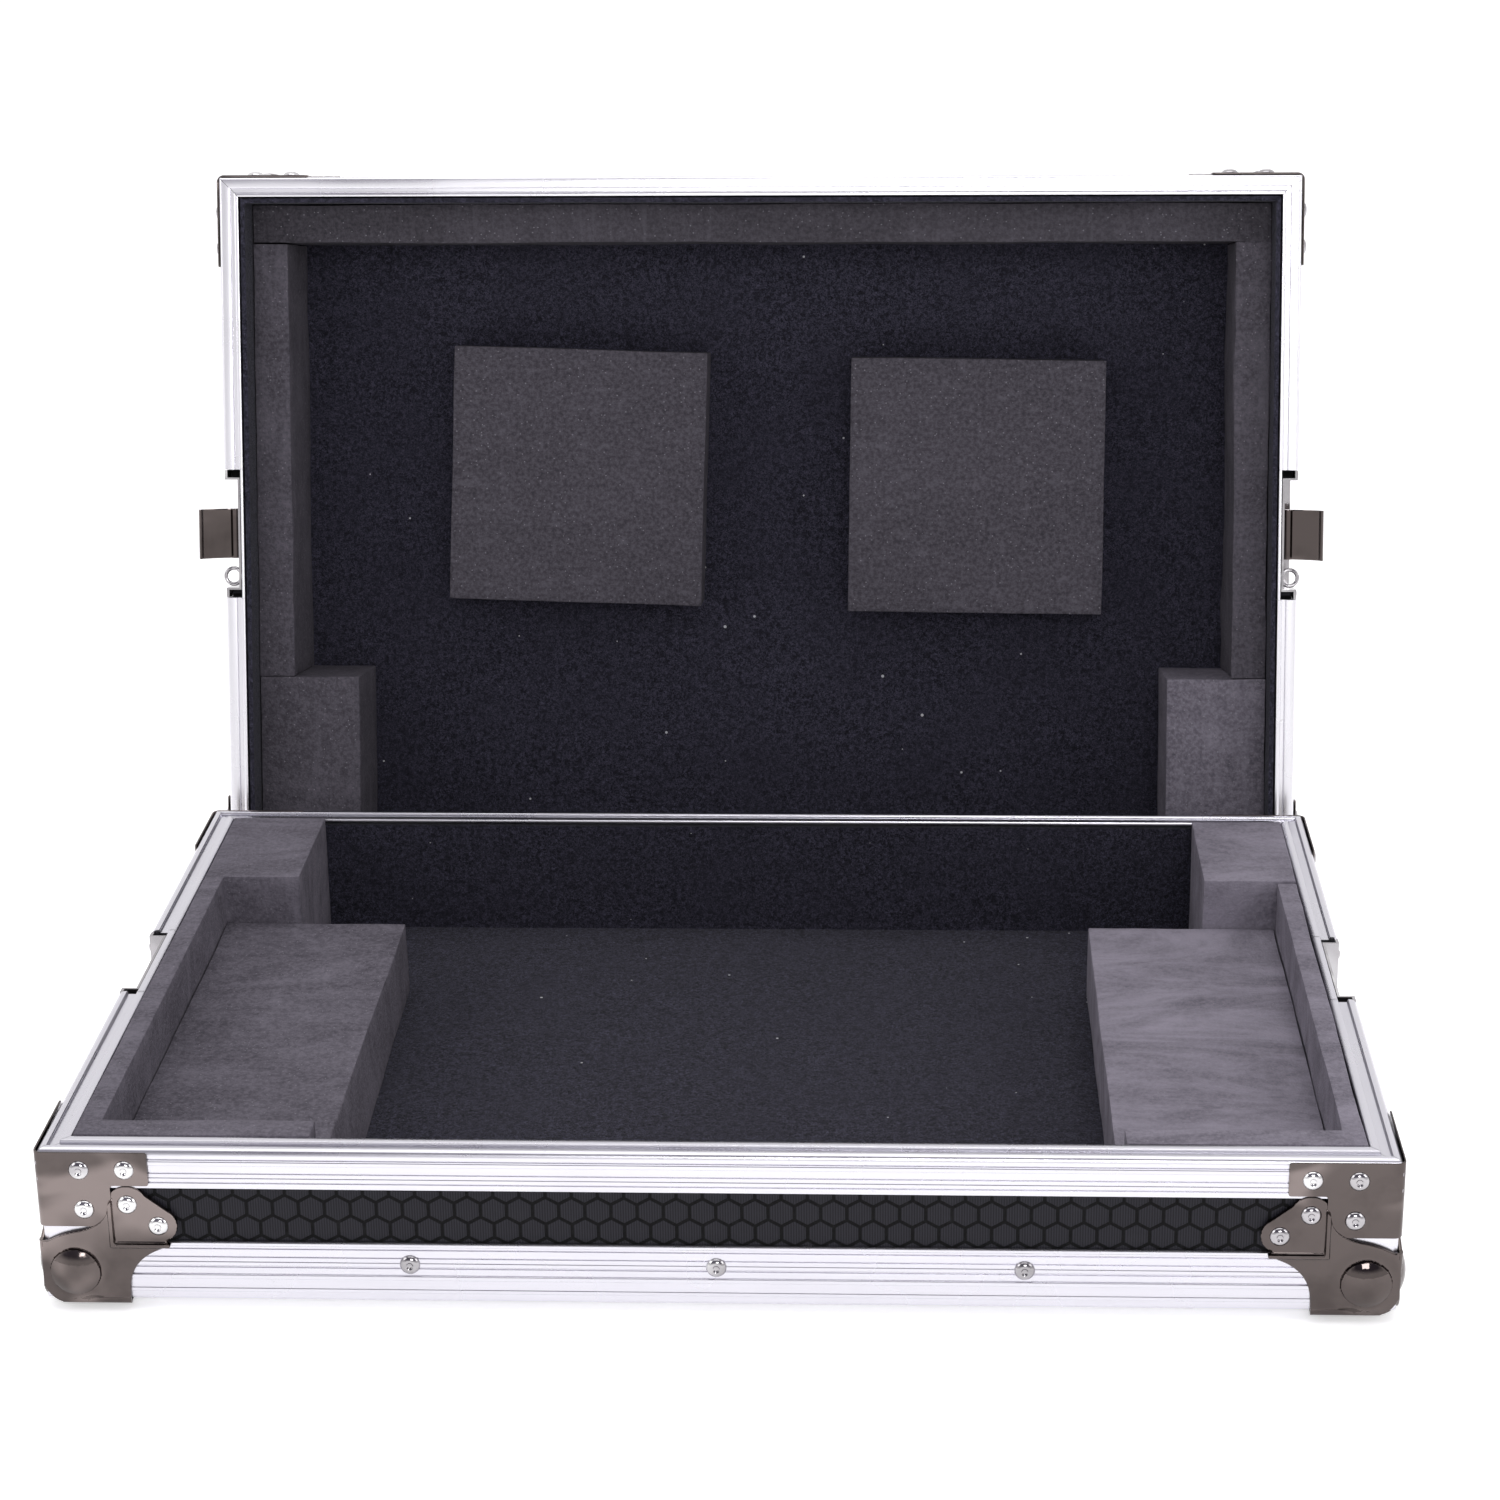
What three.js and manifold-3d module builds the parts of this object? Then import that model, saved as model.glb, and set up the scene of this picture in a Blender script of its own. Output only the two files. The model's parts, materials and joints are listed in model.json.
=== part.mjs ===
// A flight case for a desktop controller: a shallow base tray and a separate, deeper lid that
// stands behind it. Both halves are laminated plywood panels held in aluminium extrusions, with
// chrome corner braces and ball corners, a felt lining and closed-cell foam blocks.
//
// Millimetres, +Z up. X runs left to right, Y from the front of the base to its rear.
// Each half is modelled in closed position, with the centre of the base's front edge at x = y = 0
// and the floor at z = 0; the lid is then swung back about its stand-in pivot line, and the whole
// is moved so that the origin is the centre of the bounding box's underside.
import * as THREE from 'three';
import { mergeVertices } from 'three/addons/utils/BufferGeometryUtils.js';
import Module from 'manifold-3d';

const wasm = await Module();
wasm.setup();

// ---------------------------------------------------------------- driving dimensions
const WIDTH = 612;             // outside of the extrusions, left to right
const DEPTH = 405;             // outside of the extrusions, front to rear
const BASE_HEIGHT = 76.5;      // underside of the edge angle to the rim
const LID_HEIGHT = 93;         // rim to the outside of the lid's edge angle
const BALL_RADIUS = 15;
const BALL_INSET = 10.5;       // ball centre, in from each of the three faces
const LID_LEAN = 13.5;         // degrees that the open lid leans back
const PIVOT_IN = 9;            // stand-in pivot line, in from the base's rear face
const CLOSED_GAP = 0.5;        // left between the two rims when closed
const GAP = 0.3;               // between pieces that touch

const ANGLE = 30;              // leg of the edge angle
const SHEET = 1.8;             // wall of the extrusions
const VALANCE = 19.4;          // height of the rim's outer face
const RIB_DEPTH = 0.6;
const RIM_RIBS = [6.8, 14.6];          // rib lines, down from the rim
const ANGLE_RIBS = [10.5, 17.3, 24];   // rib lines, in from the angle's free edge
const BASE_RIM_WIDTH = 13.5;
const LID_RIM_WIDTH = 11;
const RIM_BAR = 8;             // height of the solid bar under the rim
const SHOULDER = 3.4;          // radius of the rim's outer shoulder

const PANEL_IN = SHEET + GAP;  // panel's outer face, in from the outside
const BASE_WALL = 7;           // plywood of the base's walls
const LID_WALL = 8.9;          // plywood of the lid's walls
const FLAT_PANEL = 6;          // plywood of the base's floor and the lid's top
const FELT_FLAT = 2;           // felt on the floor and the top
const BASE_FELT_IN = 13.2;     // inner face of the base's felt, in from the outside
const LID_FELT_IN = 14.5;      // inner face of the lid's felt, in from the outside

const BRACE_LONG = 51;         // corner brace: leg along the rim
const BRACE_DROP = 17;         // height of that leg
const BRACE_SHORT = 26;        // width of the leg along the corner
const BRACE_FALL = 38;         // length of the leg along the corner
const BRACE_SHEET = 0.9;
const BRACE_START = 0.9;       // brace's edge, down from the rim

const LATCH_HALF = 36.5;       // half the length of a latch dish
const LATCH_TALL = 44;         // height of a latch dish
const LATCH_DEEP = 9.1;        // back of a latch dish, in from the outside
const RECESS_HALF = 31;
const HOOK_HALF = 14.2;        // half the width of the hook plate
const HOOK_LONG = 21;
const HOOK_OPEN = 60;          // degrees that the open hook stands out
const HOOK_PIVOT_IN = 5;       // hook's pivot, in from the outside
const HOOK_PIVOT_UP = 6;       // hook's pivot, above the lid's rim
const WING_UP = 23;            // centre of the butterfly wing, above the lid's rim

const HANDLE_HALF = 72;        // half the length of the handle dish
const HANDLE_DEEP = 10.7;      // back of the handle dish, in from the outside

const HALF = WIDTH / 2;
const FLOOR_GAP = BALL_RADIUS - BALL_INSET;    // underside of the base's angle above the floor
const RIM = FLOOR_GAP + BASE_HEIGHT;           // height of the base's rim above the floor

// ---------------------------------------------------------------- materials
function finish(color, roughness, metalness) {
  return new THREE.MeshStandardMaterial({ color, roughness, metalness });
}
const satinAluminium = finish(0xd6d7dc, 0.35, 1);
const chrome = finish(0xb9b4ae, 0.08, 1);
const laminate = finish(0x202124, 0.45, 0);
const felt = finish(0x15171d, 0.95, 0);
const foam = finish(0x4b4850, 0.9, 0);
const grip = finish(0x1a1a1c, 0.6, 0);

// ---------------------------------------------------------------- solids
function toSolid(geometry) {
  const bare = geometry.clone();
  bare.deleteAttribute('normal');
  bare.deleteAttribute('uv');
  const merged = mergeVertices(bare, 1e-4);
  return new wasm.Manifold(new wasm.Mesh({
    numProp: 3,
    vertProperties: new Float32Array(merged.attributes.position.array),
    triVerts: new Uint32Array(merged.index.array),
  }));
}

function toGeometry(solid) {
  const mesh = solid.getMesh();
  const geometry = new THREE.BufferGeometry();
  geometry.setAttribute('position', new THREE.BufferAttribute(mesh.vertProperties, 3));
  geometry.setIndex(new THREE.BufferAttribute(mesh.triVerts, 1));
  geometry.computeVertexNormals();
  return geometry;
}

function box(x0, x1, y0, y1, z0, z1) {
  const geometry = new THREE.BoxGeometry(x1 - x0, y1 - y0, z1 - z0);
  geometry.translate((x0 + x1) / 2, (y0 + y1) / 2, (z0 + z1) / 2);
  return toSolid(geometry);
}

// a prism of an outline drawn in the plane 'xy', 'yz' or 'xz', from one height to another
function prism(plane, outline, from, to, arcSteps = 8) {
  const shape = outline instanceof THREE.Shape
    ? outline
    : new THREE.Shape(outline.map(([u, v]) => new THREE.Vector2(u, v)));
  const geometry = new THREE.ExtrudeGeometry(shape, {
    depth: to - from, bevelEnabled: false, curveSegments: arcSteps,
  });
  const axes = {
    xy: [[1, 0, 0], [0, 1, 0], [0, 0, 1]],
    yz: [[0, 1, 0], [0, 0, 1], [1, 0, 0]],
    xz: [[1, 0, 0], [0, 0, 1], [0, -1, 0]],
  }[plane].map((axis) => new THREE.Vector3(...axis));
  const matrix = new THREE.Matrix4().makeBasis(...axes);
  const start = { xy: [0, 0, from], yz: [from, 0, 0], xz: [0, to, 0] }[plane];
  matrix.setPosition(...start);
  geometry.applyMatrix4(matrix);
  return toSolid(geometry);
}

// the same solid seen in a mirror that stands across one axis at a given place
function mirrored(solid, axis, at = 0) {
  const mesh = solid.getMesh();
  const places = new Float32Array(mesh.vertProperties);
  const triangles = new Uint32Array(mesh.triVerts);
  const offset = { x: 0, y: 1, z: 2 }[axis];
  for (let i = offset; i < places.length; i += 3) {
    places[i] = 2 * at - places[i];
  }
  for (let i = 0; i < triangles.length; i += 3) {
    const first = triangles[i];
    triangles[i] = triangles[i + 1];
    triangles[i + 1] = first;
  }
  return new wasm.Manifold(new wasm.Mesh({
    numProp: 3, vertProperties: places, triVerts: triangles,
  }));
}

function half_turn(solid) {
  return mirrored(mirrored(solid, 'x'), 'y', DEPTH / 2);
}

function join(solids) {
  return solids.reduce((whole, solid) => whole.add(solid));
}

function piece(group, name, solid, material) {
  const mesh = new THREE.Mesh(toGeometry(solid), material);
  mesh.name = name;
  group.add(mesh);
  return mesh;
}

// points on an arc, in degrees
function arc(cu, cv, radius, from, to, steps) {
  const points = [];
  for (let i = 0; i <= steps; i += 1) {
    const angle = THREE.MathUtils.degToRad(from + ((to - from) * i) / steps);
    points.push([cu + radius * Math.cos(angle), cv + radius * Math.sin(angle)]);
  }
  return points.map(([u, v]) => [Math.round(u * 1e4) / 1e4, Math.round(v * 1e4) / 1e4]);
}

// ---------------------------------------------------------------- extrusions
// Sections are drawn in (in, up): in from the outer face, up from the base's floor line or, for
// the lid, from its rim. Rib lines are shallow notches with a long lower bevel.
function notch(up, towardsRim) {
  return [[0, up + 0.2 * towardsRim], [RIB_DEPTH, up], [0, up - 1.8 * towardsRim]];
}

function baseRimSection() {
  const ribs = [...RIM_RIBS].reverse().flatMap((down) => notch(RIM - down, 1).reverse());
  return [
    [0, RIM - VALANCE],
    ...ribs,
    ...arc(SHOULDER, RIM - SHOULDER, SHOULDER, 180, 90, 5),
    [4.4, RIM],
    [5.4, RIM - 1.4],
    [8.6, RIM - 1.4],
    [9.6, RIM],
    [BASE_RIM_WIDTH - 0.4, RIM],
    [BASE_RIM_WIDTH, RIM - 0.4],
    [BASE_RIM_WIDTH, RIM - 1.2],
    [9.1, RIM - 1.2 - 2],
    [9.1, RIM - RIM_BAR],
    [SHEET, RIM - RIM_BAR],
    [SHEET, RIM - VALANCE],
  ];
}

function lidRimSection() {
  const ribs = [...RIM_RIBS].reverse().flatMap((up) => notch(up, -1).reverse());
  return [
    [0, VALANCE],
    ...ribs,
    ...arc(1.6, 1.6, 1.6, 180, 270, 3),
    [6.2, 0],
    [6.6, 1.3],
    [8.3, 1.3],
    [8.7, 0],
    [LID_RIM_WIDTH - 0.4, 0],
    [LID_RIM_WIDTH, 0.4],
    [LID_RIM_WIDTH, 10],
    [SHEET, 10],
    [SHEET, VALANCE],
  ];
}

// rim rails are cut to a mitre, with a little play on each side of the joint
function frontRail(section, play) {
  const rail = prism('yz', section, -HALF, HALF);
  const reach = ANGLE + 2;
  const wedge = prism('xy', [
    [-HALF - 1 + play, -1],
    [HALF + 1 - play, -1],
    [HALF - reach - play, reach],
    [-HALF + reach + play, reach],
  ], -10, 400);
  return rail.intersect(wedge);
}

function leftRail(section, play) {
  const turned = section.map(([inward, up]) => [-HALF + inward, up]);
  const rail = prism('xz', turned, 0, DEPTH);
  const reach = ANGLE + 2;
  const wedge = prism('xy', [
    [-HALF - 1, -1 + play],
    [-HALF - 1, DEPTH + 1 - play],
    [-HALF + reach, DEPTH - reach - play],
    [-HALF + reach, reach + play],
  ], -10, 400);
  return rail.intersect(wedge);
}

// the edge angle all round with its corner posts, standing on z = 0
function edgeFrame(postHeight) {
  const reach = 200;
  const shell = box(-HALF, HALF, 0, DEPTH, 0, postHeight)
    .subtract(box(-HALF + SHEET, HALF - SHEET, SHEET, DEPTH - SHEET, SHEET, reach))
    .subtract(box(-HALF + ANGLE, HALF - ANGLE, ANGLE, DEPTH - ANGLE, -1, reach))
    .subtract(box(-HALF + ANGLE, HALF - ANGLE, -1, DEPTH + 1, ANGLE, reach))
    .subtract(box(-HALF - 1, HALF + 1, ANGLE, DEPTH - ANGLE, ANGLE, reach));
  return ANGLE_RIBS.reduce((frame, down) => {
    const at = ANGLE - down;
    const groove = (edge) => [[edge - 1, at + 0.5], [edge + RIB_DEPTH, at], [edge - 1, at - 3]];
    const front = prism('yz', groove(0), -HALF + 36, HALF - 36);
    const left = prism('xz', groove(-HALF), 36, DEPTH - 36);
    return frame.subtract(front)
      .subtract(mirrored(front, 'y', DEPTH / 2))
      .subtract(left)
      .subtract(mirrored(left, 'x'));
  }, shell);
}

// ---------------------------------------------------------------- corner hardware
// Both are drawn for a front left corner. The brace hangs from the rim, downwards where sense is
// +1; the ball corner stands on the corner's point and grows upwards where sense is +1.
function cornerBrace(rim, sense, loose = 0) {
  const top = rim - BRACE_START * sense;
  const far = -HALF - GAP - BRACE_SHEET - loose;
  const near = -HALF - GAP + loose;
  const outline = (start, along) => [
    [start, top + loose * sense],
    [start + along * (BRACE_LONG + loose), top + loose * sense],
    [start + along * (BRACE_LONG + loose), rim - (BRACE_DROP + loose) * sense],
    [start + along * (BRACE_SHORT + loose), rim - (BRACE_DROP + loose) * sense],
    [start + along * (BRACE_SHORT + loose), rim - (BRACE_FALL + loose) * sense],
    [start, rim - (BRACE_FALL + loose) * sense],
  ];
  const front = prism('xz', outline(far, 1), far + HALF, near + HALF);
  const side = prism('yz', outline(far + HALF, 1), far, near);
  return front.add(side);
}

const PLATE_OUT = 2;        // outer face of the ball corner's plates, out from the case
const EAR_OUT = 1.6;        // outer face of its ears
const EAR_NEAR = [40, 47.4];   // rivet nearer the corner: along, up from the corner's point
const EAR_FAR = [53.5, 38.6];  // rivet further along

function ballCorner(corner, sense) {
  // outlines in (along, up) from the corner's point
  const plate = new THREE.Shape();
  plate.moveTo(-PLATE_OUT, -PLATE_OUT);
  plate.lineTo(38.5, -PLATE_OUT);
  plate.lineTo(38.5, 8);
  plate.quadraticCurveTo(41, 24, 58, 29.5);
  plate.lineTo(58, 34);
  plate.lineTo(32, 34);
  plate.lineTo(30.5, 43);
  plate.quadraticCurveTo(29, 36.6, 13, 35);
  plate.quadraticCurveTo(7, 34.5, 3, 31);
  plate.lineTo(-PLATE_OUT, 31);
  const ear = [
    [30.5, 29],
    [56, 29.2],
    ...arc(...EAR_FAR, 8.8, -80, 55, 5),
    ...arc(...EAR_NEAR, 9.2, 55, 150, 4),
    [30.5, 52],
  ];
  const earSolid = prism('xz', ear, -EAR_OUT, PANEL_IN - GAP);
  const front = prism('xz', plate, -PLATE_OUT, 0, 4).add(earSolid);
  const side = swapAxes(front);
  const under = prism('xy', [
    [-PLATE_OUT, -PLATE_OUT],
    [38.5, -PLATE_OUT],
    [38.5, 8],
    ...arc(38.5, 38.5, 24, 262, 188, 4),
    [8, 38.5],
    [-PLATE_OUT, 38.5],
  ], -PLATE_OUT, 0);
  const bevelled = cutCorner(join([front, side, under]));
  const ballGeometry = new THREE.SphereGeometry(BALL_RADIUS, 20, 12);
  ballGeometry.rotateX(Math.PI / 2);
  ballGeometry.translate(BALL_INSET, BALL_INSET, BALL_INSET);
  const cased = bevelled.add(toSolid(ballGeometry))
    .subtract(box(-GAP, 100, -GAP, 100, -GAP, ANGLE + GAP))
    .subtract(box(-GAP, ANGLE + GAP, -GAP, ANGLE + GAP, -GAP, 100));
  const placed = sense > 0 ? cased : mirrored(cased, 'z');
  return placed.translate([-HALF, 0, corner]);
}

// takes the sharp edges off the corner where the plates meet around the ball
function cutCorner(solid) {
  const bevel = 1.2;
  const reach = 60;
  const outline = [
    [-PLATE_OUT - 1, -PLATE_OUT - 1],
    [-PLATE_OUT + bevel + 1, -PLATE_OUT - 1],
    [-PLATE_OUT - 1, -PLATE_OUT + bevel + 1],
  ];
  const upright = prism('xy', outline, -reach, reach);
  const across = prism('yz', outline, -reach, reach);
  const along = prism('xz', outline, -reach, reach);
  return solid.subtract(upright).subtract(across).subtract(along);
}

function swapAxes(solid) {
  // mirror across the plane x = y
  const mesh = solid.getMesh();
  const places = new Float32Array(mesh.vertProperties);
  const triangles = new Uint32Array(mesh.triVerts);
  for (let i = 0; i < places.length; i += 3) {
    const first = places[i];
    places[i] = places[i + 1];
    places[i + 1] = first;
  }
  for (let i = 0; i < triangles.length; i += 3) {
    const first = triangles[i];
    triangles[i] = triangles[i + 1];
    triangles[i + 1] = first;
  }
  return new wasm.Manifold(new wasm.Mesh({
    numProp: 3, vertProperties: places, triVerts: triangles,
  }));
}

function fourCorners(group, prefix, solid, material) {
  piece(group, `${prefix}_front_left`, solid, material);
  piece(group, `${prefix}_front_right`, mirrored(solid, 'x'), material);
  piece(group, `${prefix}_rear_left`, mirrored(solid, 'y', DEPTH / 2), material);
  piece(group, `${prefix}_rear_right`, half_turn(solid), material);
}

// a box given by its distances in from the left and the front face
function inBox(left0, left1, front0, front1, z0, z1) {
  return box(-HALF + left0, -HALF + left1, front0, front1, z0, z1);
}

// ---------------------------------------------------------------- latches
// Drawn on the left side about the mid-length of the case; up is measured from the rim.
const MID = DEPTH / 2;

function latchDish(rim, sense) {
  const at = (up) => rim + sense * up;
  const slab = (s0, s1, half, up0, up1) => box(
    -HALF + s0, -HALF + s1, MID - half, MID + half,
    Math.min(at(up0), at(up1)), Math.max(at(up0), at(up1)),
  );
  const dish = slab(GAP, SHEET, LATCH_HALF, 1, LATCH_TALL)
    .add(slab(GAP, LATCH_DEEP - GAP, RECESS_HALF + 1.2, 1, LATCH_TALL - 4.8))
    .subtract(slab(-1, LATCH_DEEP - GAP - 1.2, RECESS_HALF, -1, LATCH_TALL - 6));
  return dish;
}

function latchRoom(rim, sense) {
  const far = rim + sense * (LATCH_TALL + GAP);
  const cup = rim + sense * (LATCH_TALL - 4.5);
  const near = rim - sense;
  const order = (a, b) => [Math.min(a, b), Math.max(a, b)];
  return box(-HALF - 1, -HALF + PANEL_IN - 0.05, MID - LATCH_HALF - GAP, MID + LATCH_HALF + GAP, ...order(near, far))
    .add(box(-HALF - 1, -HALF + LATCH_DEEP + 0.2, MID - RECESS_HALF - 1.5, MID + RECESS_HALF + 1.5, ...order(near, cup)));
}

function rimNotch(rim, sense) {
  const order = [rim - sense, rim + sense * (VALANCE + 1)].sort((a, b) => a - b);
  return box(-HALF - 1, -HALF + LATCH_DEEP + 0.2, MID - LATCH_HALF - GAP, MID + LATCH_HALF + GAP, ...order);
}

function cylinder(axis, radius, from, to, u, v, sides = 16) {
  const geometry = new THREE.CylinderGeometry(radius, radius, to - from, sides);
  if (axis === 'x') {
    geometry.rotateZ(Math.PI / 2);
    geometry.translate((from + to) / 2, u, v);
  } else {
    geometry.translate(u, (from + to) / 2, v);
  }
  return toSolid(geometry);
}

// ---------------------------------------------------------------- base
const base = new THREE.Group();
const wallFoot = FLOOR_GAP + SHEET + GAP;
const floorTop = wallFoot + FLAT_PANEL;
const feltFloor = floorTop + GAP + FELT_FLAT;
const wallTop = RIM - RIM_BAR - GAP;
const baseWallIn = PANEL_IN + BASE_WALL;

piece(base, 'base_floor_panel', inBox(
  PANEL_IN, WIDTH - PANEL_IN, PANEL_IN, DEPTH - PANEL_IN, wallFoot, floorTop,
), laminate);

const baseFrontWall = inBox(PANEL_IN, WIDTH - PANEL_IN, PANEL_IN, baseWallIn, floorTop + GAP, wallTop);
piece(base, 'base_front_panel', baseFrontWall, laminate);
piece(base, 'base_rear_panel', mirrored(baseFrontWall, 'y', MID), laminate);

const baseSideWall = inBox(
  PANEL_IN, baseWallIn, baseWallIn + GAP, DEPTH - baseWallIn - GAP, floorTop + GAP, wallTop,
).subtract(latchRoom(RIM, -1));
piece(base, 'base_left_panel', baseSideWall, laminate);
piece(base, 'base_right_panel', mirrored(baseSideWall, 'x'), laminate);

const MITRE_PLAY = 0.2;
const baseFrontRim = frontRail(baseRimSection(), MITRE_PLAY);
piece(base, 'base_rim_front', baseFrontRim, satinAluminium);
piece(base, 'base_rim_rear', mirrored(baseFrontRim, 'y', MID), satinAluminium);
const baseSideRim = leftRail(baseRimSection(), MITRE_PLAY).subtract(rimNotch(RIM, -1));
piece(base, 'base_rim_left', baseSideRim, satinAluminium);
piece(base, 'base_rim_right', mirrored(baseSideRim, 'x'), satinAluminium);

const baseFrame = edgeFrame(BASE_HEIGHT - VALANCE - GAP).translate([0, 0, FLOOR_GAP]);
piece(base, 'base_edge_frame', baseFrame, satinAluminium);

fourCorners(base, 'base_brace', cornerBrace(RIM, 1), chrome);
fourCorners(base, 'base_ball_corner', ballCorner(FLOOR_GAP, 1), chrome);

const baseFeltIn = baseWallIn + GAP;
const baseLining = inBox(
  baseFeltIn, WIDTH - baseFeltIn, baseFeltIn, DEPTH - baseFeltIn, floorTop + GAP, RIM - 3.6,
).subtract(inBox(
  BASE_FELT_IN, WIDTH - BASE_FELT_IN, BASE_FELT_IN, DEPTH - BASE_FELT_IN, feltFloor, RIM + 5,
));
piece(base, 'base_lining', baseLining, felt);

// foam in the base: blocks fill the rear corners, strips run along the sides and round to the
// front, and a lower slab lies between them at either end
const FOAM_SIDE = 24.5;        // inner face of the side strips
const FOAM_FRONT = 28.5;       // inner face of the front strips
const FOAM_REAR = 308;         // front face of the rear blocks
const FOAM_PROUD = 0.8;        // foam stands this much above the rim
const SLAB_TOP = 50.5 + FLOOR_GAP;
const foamFoot = feltFloor + GAP;
const foamIn = BASE_FELT_IN + 0.6;
const foamTop = RIM + FOAM_PROUD - 1.2;
const rearFace = DEPTH - foamIn;

const leftSurround = join([
  inBox(foamIn, 65, FOAM_REAR, rearFace, foamFoot, foamTop),
  inBox(foamIn, FOAM_SIDE, foamIn, FOAM_REAR + 1, foamFoot, foamTop),
  inBox(foamIn, 122, foamIn, FOAM_FRONT, foamFoot, foamTop),
]);
piece(base, 'base_foam_left_surround', leftSurround, foam);
const rightBlockAt = WIDTH - 549;
const rightBlock = inBox(
  WIDTH - rightBlockAt, WIDTH - foamIn, FOAM_REAR, rearFace, foamFoot, foamTop,
);
piece(base, 'base_foam_right_block', rightBlock, foam);
const rightSurround = inBox(WIDTH - FOAM_SIDE, WIDTH - foamIn, foamIn, FOAM_REAR - GAP, foamFoot, foamTop)
  .add(inBox(490, WIDTH - foamIn, foamIn, FOAM_FRONT, foamFoot, foamTop));
piece(base, 'base_foam_right_surround', rightSurround, foam);
piece(base, 'base_foam_left_slab', inBox(
  FOAM_SIDE + GAP, 122, FOAM_FRONT + GAP, FOAM_REAR - GAP, foamFoot, SLAB_TOP,
), foam);
piece(base, 'base_foam_right_slab', inBox(
  488, WIDTH - FOAM_SIDE - GAP, FOAM_FRONT + GAP, FOAM_REAR - GAP, foamFoot, SLAB_TOP,
), foam);

const KEEPER_DOWN = 10;        // top of the keeper bar, down from the rim
const keeper = latchDish(RIM, -1).add(box(
  -HALF + 5.2, -HALF + LATCH_DEEP - 1, MID - 9, MID + 9, RIM - KEEPER_DOWN - 3, RIM - KEEPER_DOWN,
));
piece(base, 'keeper_dish_left', keeper, chrome);
piece(base, 'keeper_dish_right', mirrored(keeper, 'x'), chrome);

// ---------------------------------------------------------------- lid, z measured from its rim
const lid = new THREE.Group();
const lidWallIn = PANEL_IN + LID_WALL;
const lidTop = LID_HEIGHT - SHEET - GAP;
const lidPanelFoot = lidTop - FLAT_PANEL;
const lidFeltTop = lidPanelFoot - GAP;
const lidFelt = lidFeltTop - FELT_FLAT;

piece(lid, 'lid_top_panel', inBox(
  PANEL_IN, WIDTH - PANEL_IN, PANEL_IN, DEPTH - PANEL_IN, lidPanelFoot, lidTop,
), laminate);

const lidRearWall = inBox(
  PANEL_IN, WIDTH - PANEL_IN, DEPTH - lidWallIn, DEPTH - PANEL_IN, 10 + GAP, lidPanelFoot - GAP,
);
piece(lid, 'lid_rear_panel', lidRearWall, laminate);

// handle recessed into the lid's front wall; its grip folds flat and springs back
const HANDLE_LOW = 22;
const HANDLE_HIGH = 61;
const HANDLE_AXIS_UP = 51;
const HANDLE_AXIS_IN = 6;
const handleSpan = (half, s0, s1, up0, up1) => box(-half, half, s0, s1, up0, up1);
const handleDish = handleSpan(HANDLE_HALF, GAP, SHEET, HANDLE_LOW, HANDLE_HIGH)
  .add(handleSpan(HANDLE_HALF - 5, GAP, HANDLE_DEEP, HANDLE_LOW + 3, HANDLE_HIGH - 3))
  .subtract(handleSpan(HANDLE_HALF - 6.2, -1, HANDLE_DEEP - 1.2, HANDLE_LOW + 4.2, HANDLE_HIGH - 4.2));
piece(lid, 'handle_dish', handleDish, grip);
const handleGrip = join([
  handleSpan(52, 2.6, 8.6, 28, 38),
  box(-57, -46, 3.4, 8.2, 28, HANDLE_AXIS_UP),
  box(46, 57, 3.4, 8.2, 28, HANDLE_AXIS_UP),
  cylinder('x', 2.4, -65, -46, HANDLE_AXIS_IN, HANDLE_AXIS_UP),
  cylinder('x', 2.4, 46, 65, HANDLE_AXIS_IN, HANDLE_AXIS_UP),
]);
piece(lid, 'handle_grip', handleGrip, grip);
const lidFrontWall = mirrored(lidRearWall, 'y', MID).subtract(
  handleSpan(HANDLE_HALF - 4.7, 0, 20, HANDLE_LOW + 2.7, HANDLE_HIGH - 2.7),
);
piece(lid, 'lid_front_panel', lidFrontWall, laminate);

const lidSideWall = inBox(
  PANEL_IN, lidWallIn, lidWallIn + GAP, DEPTH - lidWallIn - GAP, 10 + GAP, lidPanelFoot - GAP,
).subtract(latchRoom(0, 1));
piece(lid, 'lid_left_panel', lidSideWall, laminate);
piece(lid, 'lid_right_panel', mirrored(lidSideWall, 'x'), laminate);

const lidFrontRim = frontRail(lidRimSection(), MITRE_PLAY);
piece(lid, 'lid_rim_front', lidFrontRim, satinAluminium);
piece(lid, 'lid_rim_rear', mirrored(lidFrontRim, 'y', MID), satinAluminium);
const lidSideRim = leftRail(lidRimSection(), MITRE_PLAY).subtract(rimNotch(0, 1));
piece(lid, 'lid_rim_left', lidSideRim, satinAluminium);
piece(lid, 'lid_rim_right', mirrored(lidSideRim, 'x'), satinAluminium);

const lidFrame = mirrored(edgeFrame(LID_HEIGHT - VALANCE - GAP), 'z').translate([0, 0, LID_HEIGHT]);
piece(lid, 'lid_edge_frame', lidFrame, satinAluminium);

fourCorners(lid, 'lid_brace', cornerBrace(0, -1), chrome);
fourCorners(lid, 'lid_ball_corner', ballCorner(LID_HEIGHT, -1), chrome);

const lidFeltOut = lidWallIn + GAP;
const lidLining = inBox(
  lidFeltOut, WIDTH - lidFeltOut, lidFeltOut, DEPTH - lidFeltOut, 1, lidFeltTop,
).subtract(inBox(
  LID_FELT_IN, WIDTH - LID_FELT_IN, LID_FELT_IN, DEPTH - LID_FELT_IN, -5, lidFelt,
));
piece(lid, 'lid_lining', lidLining, felt);

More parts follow.
